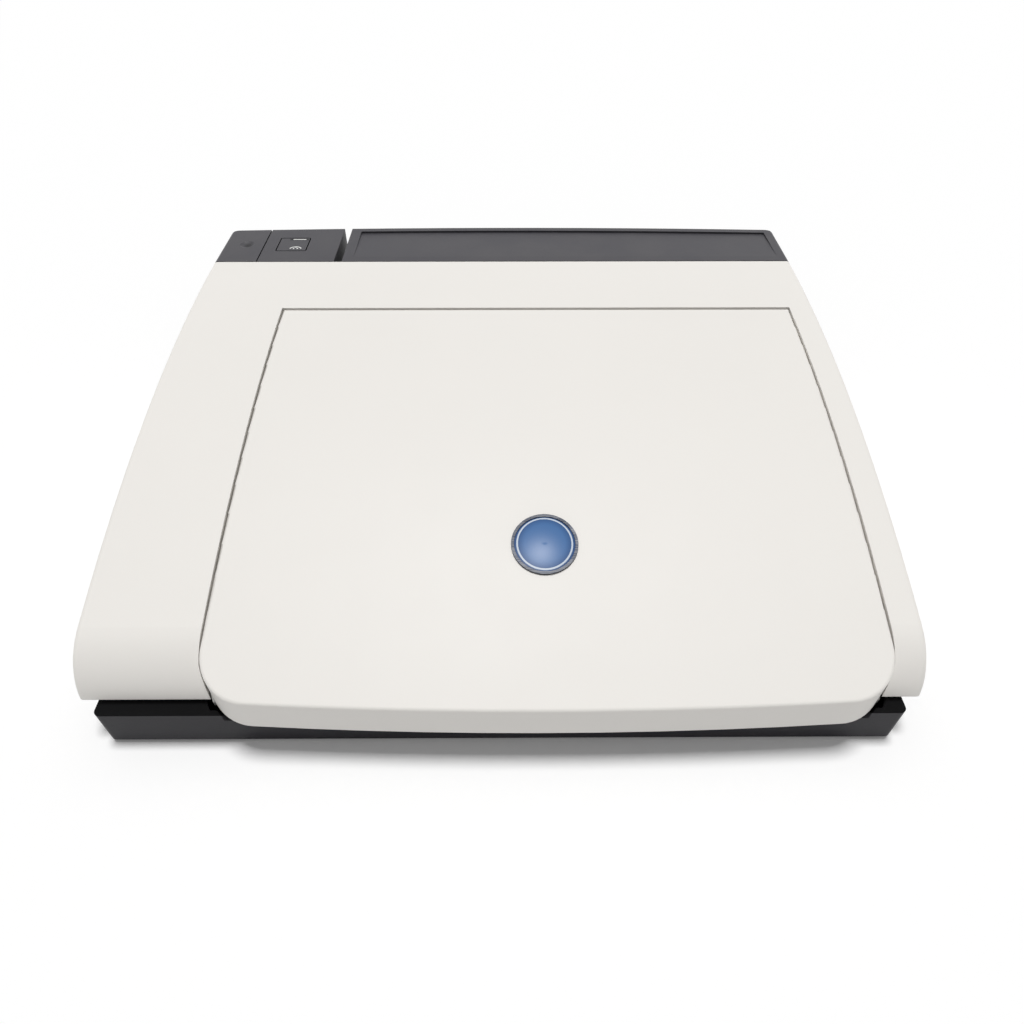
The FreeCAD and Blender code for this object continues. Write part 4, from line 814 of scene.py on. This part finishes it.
PATIENT_PINS = 6
PATIENT_RING = 4.3 * MM
PATIENT_FLOOR = 5.0 * MM
PATIENT_PIN = (0.9 * MM, 0.9 * MM, 7.1 * MM)
DATA_FLOOR = 2.5 * MM
SERIAL_ROWS = ((1, 5), (-1, 4))
SERIAL_PITCH = 2.77 * MM
SERIAL_RISE = 1.42 * MM
SERIAL_PIN = (0.5 * MM, 0.5 * MM, 6.0 * MM)
NETWORK_PINS = 8
NETWORK_PITCH = 1.02 * MM
NETWORK_RISE = 3.6 * MM
NETWORK_LEAN = (-1, 0, -0.18)
NETWORK_PIN = (0.24 * MM, 0.24 * MM, 9.0 * MM)
TOOTH_PITCH = 1.6 * MM
TOOTH_SIZE = (0.8 * MM, 0.8 * MM, 0.9 * MM)


def patient_pins():
    """Ring of contacts in the patient cable's socket: a place, a turn and a size for each."""
    low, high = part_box("patient_socket")
    middle = (low + high) / 2
    rows = []
    for index in range(PATIENT_PINS):
        around = 2 * math.pi * index / PATIENT_PINS
        offset = Vector((0, math.cos(around), math.sin(around))) * PATIENT_RING
        rows.append((Vector((low.x + PATIENT_FLOOR, middle.y, middle.z)) + offset, turn_to((1, 0, 0)),
                     PATIENT_PIN))
    return rows


def in_row(index, count, pitch):
    """How far a pin stands from the middle of its row."""
    return (index - (count - 1) / 2) * pitch


def data_pins():
    """Contacts in the serial and the network socket, which stands behind it."""
    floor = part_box("data_sockets")[1].x - DATA_FLOOR
    boxes = sorted((box_of(points) for points in solids_of("data_sockets")), key=lambda box: box[0].y)
    serial, network = ((low + high) / 2 for low, high in boxes)
    rows = []
    for side, count in SERIAL_ROWS:
        for index in range(count):
            y = serial.y + in_row(index, count, SERIAL_PITCH)
            place = Vector((floor, y, serial.z + side * SERIAL_RISE))
            rows.append((place, turn_to((-1, 0, 0)), SERIAL_PIN))
    for index in range(NETWORK_PINS):
        y = network.y + in_row(index, NETWORK_PINS, NETWORK_PITCH)
        rows.append((Vector((floor, y, network.z + NETWORK_RISE)), turn_to(NETWORK_LEAN), NETWORK_PIN))
    return rows


def tear_edge():
    """Row of fine teeth along the front of the tear bar."""
    low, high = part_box("tear_bar")
    rows = []
    for index in range(int((high.x - low.x) / TOOTH_PITCH)):
        place = Vector((low.x + (index + 0.5) * TOOTH_PITCH, low.y, (low.z + high.z) / 2))
        rows.append((place, turn_to((0, -1, 0)), TOOTH_SIZE))
    grown("tear_teeth", tooth_tree, rows, {"Thick": 0.45}, "writer_door", steel)


grown("socket_contacts", pin_tree, patient_pins() + data_pins(), {"Sides": 12, "Tip": 0.1}, "chassis",
      contact_gold)
tear_edge()


# Printed legends and signs

PRINT_LIFT = 0.04 * MM
LETTER_ROWS = ("       <^v>  ", "ZXCVBNM,./?!&", "ASDFGHJKL;'+*", "QWERTYUIOP[]%", "1234567890-=#")
MAT_RIM = 8.0 * MM
LETTER_WIDE = 18.0 * MM
LETTER_LONG = 16.0 * MM
LETTER_HIGH = 6.5 * MM
FUNCTION_HIGH = 5.5 * MM


def text_mesh(text, size):
    """Thin lettering as a closed mesh, centred on the origin."""
    curve = bpy.data.curves.new("legend", "FONT")
    curve.body = text
    curve.size = size
    curve.align_x = "CENTER"
    curve.align_y = "CENTER"
    curve.resolution_u = 3
    curve.extrude = PRINT_LIFT
    holder = bpy.data.objects.new("legend", curve)
    bpy.context.scene.collection.objects.link(holder)
    made = evaluated_mesh(holder)
    bpy.data.objects.remove(holder)
    bpy.data.curves.remove(curve)
    return made


def print_text(name, rows, body, finish):
    """Several short legends as one piece: each a text, its height and its place."""
    work = bmesh.new()
    for text, size, place in rows:
        flat = text_mesh(text, size)
        flat.transform(place)
        work.from_mesh(flat)
        bpy.data.meshes.remove(flat)
    add_piece(name, mesh_of(name, work), body, finish)


def print_shapes(name, shapes, place, body, finish, scale=1.0):
    """Thin closed shapes on one place, each a run of points in millimetres round its outline."""
    work = bmesh.new()
    for points in shapes:
        rings = []
        for lift in (-PRINT_LIFT, PRINT_LIFT):
            corners = [Vector((x * scale * MM, y * scale * MM, lift)) for x, y in points]
            rings.append([work.verts.new(place @ corner) for corner in corners])
        low, high = rings
        work.faces.new(high)
        work.faces.new(low[::-1])
        for index in range(len(low)):
            work.faces.new((low[index - 1], low[index], high[index], high[index - 1]))
    bmesh.ops.triangulate(work, faces=work.faces)
    bmesh.ops.recalc_face_normals(work, faces=work.faces)
    add_piece(name, mesh_of(name, work), body, finish)


def deck_box(node_name):
    """Low and high corners of a node in the deck's own plane."""
    flat = deck_plane.inverted()
    return box_of([flat @ vert.co for vert in nodes[node_name].data.vertices])


def on_deck(x, y, z):
    """A place in the deck's plane, facing away from the deck."""
    return deck_plane @ Matrix.Translation((x, y, z))


def key_top(node_name):
    """Place in the middle of a key's top."""
    low, high = deck_box(node_name)
    return on_deck((low.x + high.x) / 2, (low.y + high.y) / 2, high.z)


def letter_legends():
    low, high = deck_box("key_mat")
    rows = []
    for row, letters in enumerate(LETTER_ROWS):
        for column, letter in enumerate(letters):
            if letter != " ":
                x = low.x + MAT_RIM + (column + 0.5) * LETTER_WIDE
                y = low.y + MAT_RIM + (row + 0.5) * LETTER_LONG
                rows.append((letter, LETTER_HIGH, on_deck(x, y, high.z)))
    print_text("letter_legends", rows, "chassis", ink_dark)


def box_points(left, right, low, high):
    return [(left, low), (right, low), (right, high), (left, high)]


def arc_band(inner, outer, start, end, steps):
    """Points round a band of a ring between two angles."""
    angles = [math.radians(start + (end - start) * step / steps) for step in range(steps + 1)]
    rim = [(outer * math.cos(angle), outer * math.sin(angle)) for angle in angles]
    hole = [(inner * math.cos(angle), inner * math.sin(angle)) for angle in reversed(angles)]
    return rim + hole


start_sign = [[(-2.6, -3.0), (3.4, 0.0), (-2.6, 3.0)]]
stop_sign = [box_points(-2.7, 2.7, -2.7, 2.7)]
feed_sign = [[(-3.4, -0.2), (3.4, -0.2), (0.0, 3.6)], box_points(-3.4, 3.4, -2.8, -1.5)]
page_sign = [
    box_points(-2.6, 2.6, 2.4, 3.2), box_points(-2.6, 2.6, -3.2, -2.4), box_points(-2.6, -1.8, -2.4, 2.4),
    box_points(1.8, 2.6, -2.4, 2.4), box_points(-1.0, 1.0, 0.4, 1.1), box_points(-1.0, 1.0, -1.1, -0.4)]
power_sign = [arc_band(2.7, 3.6, 125.0, 415.0, 28), box_points(-0.45, 0.45, 0.6, 4.0)]

letter_legends()
for number, key in enumerate(FUNCTION_KEYS, 1):
    legend = ("F%d" % number, FUNCTION_HIGH, key_top(key))
    print_text("function_legend_%d" % number, [legend], key, ink_white)
for number, (key, sign) in enumerate(zip(WRITER_KEYS, (start_sign, stop_sign, feed_sign, page_sign)), 1):
    print_shapes("writer_sign_%d" % number, sign, key_top(key), key, ink_white)
print_shapes("power_sign", power_sign, key_top("power_key"), "power_key", ink_white)


# Sign, painted shade of a slot and a painted highlight inside it, on the square button, in millimetres
# from its middle

SIGN_PLACE = (2.6, -5.6)
SIGN_SCALE = 0.9
SLOT_PLACE = (3.0, 7.4)
SLOT_LEFT = -6.6
SLOT_RIGHT = 6.2
SLOT_SIDE = 1.1
HIGHLIGHT_END = 4.4
HIGHLIGHT_SIDE = 0.5

tray_hood = [(x, y * 0.9 - 1.6) for x, y in arc_band(3.7, 4.7, 12.0, 168.0, 18)]
tray_sign = [tray_hood, box_points(-1.9, -0.9, -1.4, 0.2), box_points(0.9, 1.9, -1.4, 0.2),
             [(-1.0, 0.8), (1.0, 0.8), (0.0, 2.0)]]
# Painted shade: flat black shapes where the slot's hollow is in shade, round the painted highlight.
slot_shade_shapes = [box_points(SLOT_LEFT, -HIGHLIGHT_END, -SLOT_SIDE, SLOT_SIDE),
              box_points(HIGHLIGHT_END, SLOT_RIGHT, -SLOT_SIDE, SLOT_SIDE),
              box_points(-HIGHLIGHT_END, HIGHLIGHT_END, -SLOT_SIDE, -HIGHLIGHT_SIDE),
              box_points(-HIGHLIGHT_END, HIGHLIGHT_END, HIGHLIGHT_SIDE, SLOT_SIDE)]
# Painted highlight: a pale bar for the glint inside the slot.
slot_painted_highlight = [box_points(-HIGHLIGHT_END, HIGHLIGHT_END, -HIGHLIGHT_SIDE, HIGHLIGHT_SIDE)]


def on_button(x, y):
    return Matrix.Translation((button_middle.x + x * MM, button_middle.y + y * MM, button_high.z))


print_shapes("button_sign", tray_sign, on_button(*SIGN_PLACE), "strip_button", ink_white, SIGN_SCALE)
# Print the slot's painted shade and the painted highlight inside it.
print_shapes("button_slot_painted_shade", slot_shade_shapes, on_button(*SLOT_PLACE), "strip_button", slot_painted_shade)
print_shapes("slot_painted_highlight", slot_painted_highlight, on_button(*SLOT_PLACE), "strip_button", ink_white)


# Rubber feet

FOOT_STEPS = 48
FOOT_PROFILE = ((0, 0.5), (4.6, 0.5), (5.0, 0.05), (7.4, 0.0), (7.9, 0.15), (8.2, 0.5), (8.5, 1.0),
                (8.9, 2.2), (8.95, 2.5), (0, 2.5))


def turned(work, profile, centre, steps):
    """Turn a profile of radius and height, in millimetres, round an upright axis."""
    rings = []
    for radius, height in profile:
        if radius == 0:
            rings.append([work.verts.new(centre + Vector((0, 0, height * MM)))])
            continue
        ring = []
        for step in range(steps):
            angle = 2 * math.pi * step / steps
            offset = Vector((radius * math.cos(angle), radius * math.sin(angle), height)) * MM
            ring.append(work.verts.new(centre + offset))
        rings.append(ring)
    for low, high in zip(rings, rings[1:]):
        for step in range(steps):
            after = (step + 1) % steps
            corners = [low[step % len(low)], low[after % len(low)],
                       high[after % len(high)], high[step % len(high)]]
            work.faces.new(list(dict.fromkeys(corners)))


def rubber_feet():
    work = bmesh.new()
    for points in solids_of("rubber_feet"):
        middle = sum(points, Vector()) / len(points)
        turned(work, FOOT_PROFILE, Vector((middle.x, middle.y, 0)), FOOT_STEPS)
    bmesh.ops.recalc_face_normals(work, faces=work.faces)
    mesh = mesh_of("feet", work)
    mesh.shade_smooth()
    made = add_piece("feet", mesh, "chassis", foot_rubber)
    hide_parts("rubber_feet")


rubber_feet()


# Mains inlet

BLADE_PLACES = ((-7.0, 0.0), (7.0, 0.0), (0.0, 4.0))
BLADE_SIZE = Vector((2.1, 17.1, 4.1)) * MM
BLADE_PROUD = 0.05


def inlet_blades():
    """Bright blades over the three moulded pins."""
    low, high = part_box("mains_inlet")
    size = Matrix.Diagonal((*BLADE_SIZE, 1.0))
    work = bmesh.new()
    for across, up in BLADE_PLACES:
        place = (low + high) / 2 + Vector((across, BLADE_PROUD, up)) * MM
        bmesh.ops.create_cube(work, size=1.0, matrix=Matrix.Translation(place) @ size)
    add_piece("inlet_blades", mesh_of("inlet_blades", work), "chassis", steel)


inlet_blades()
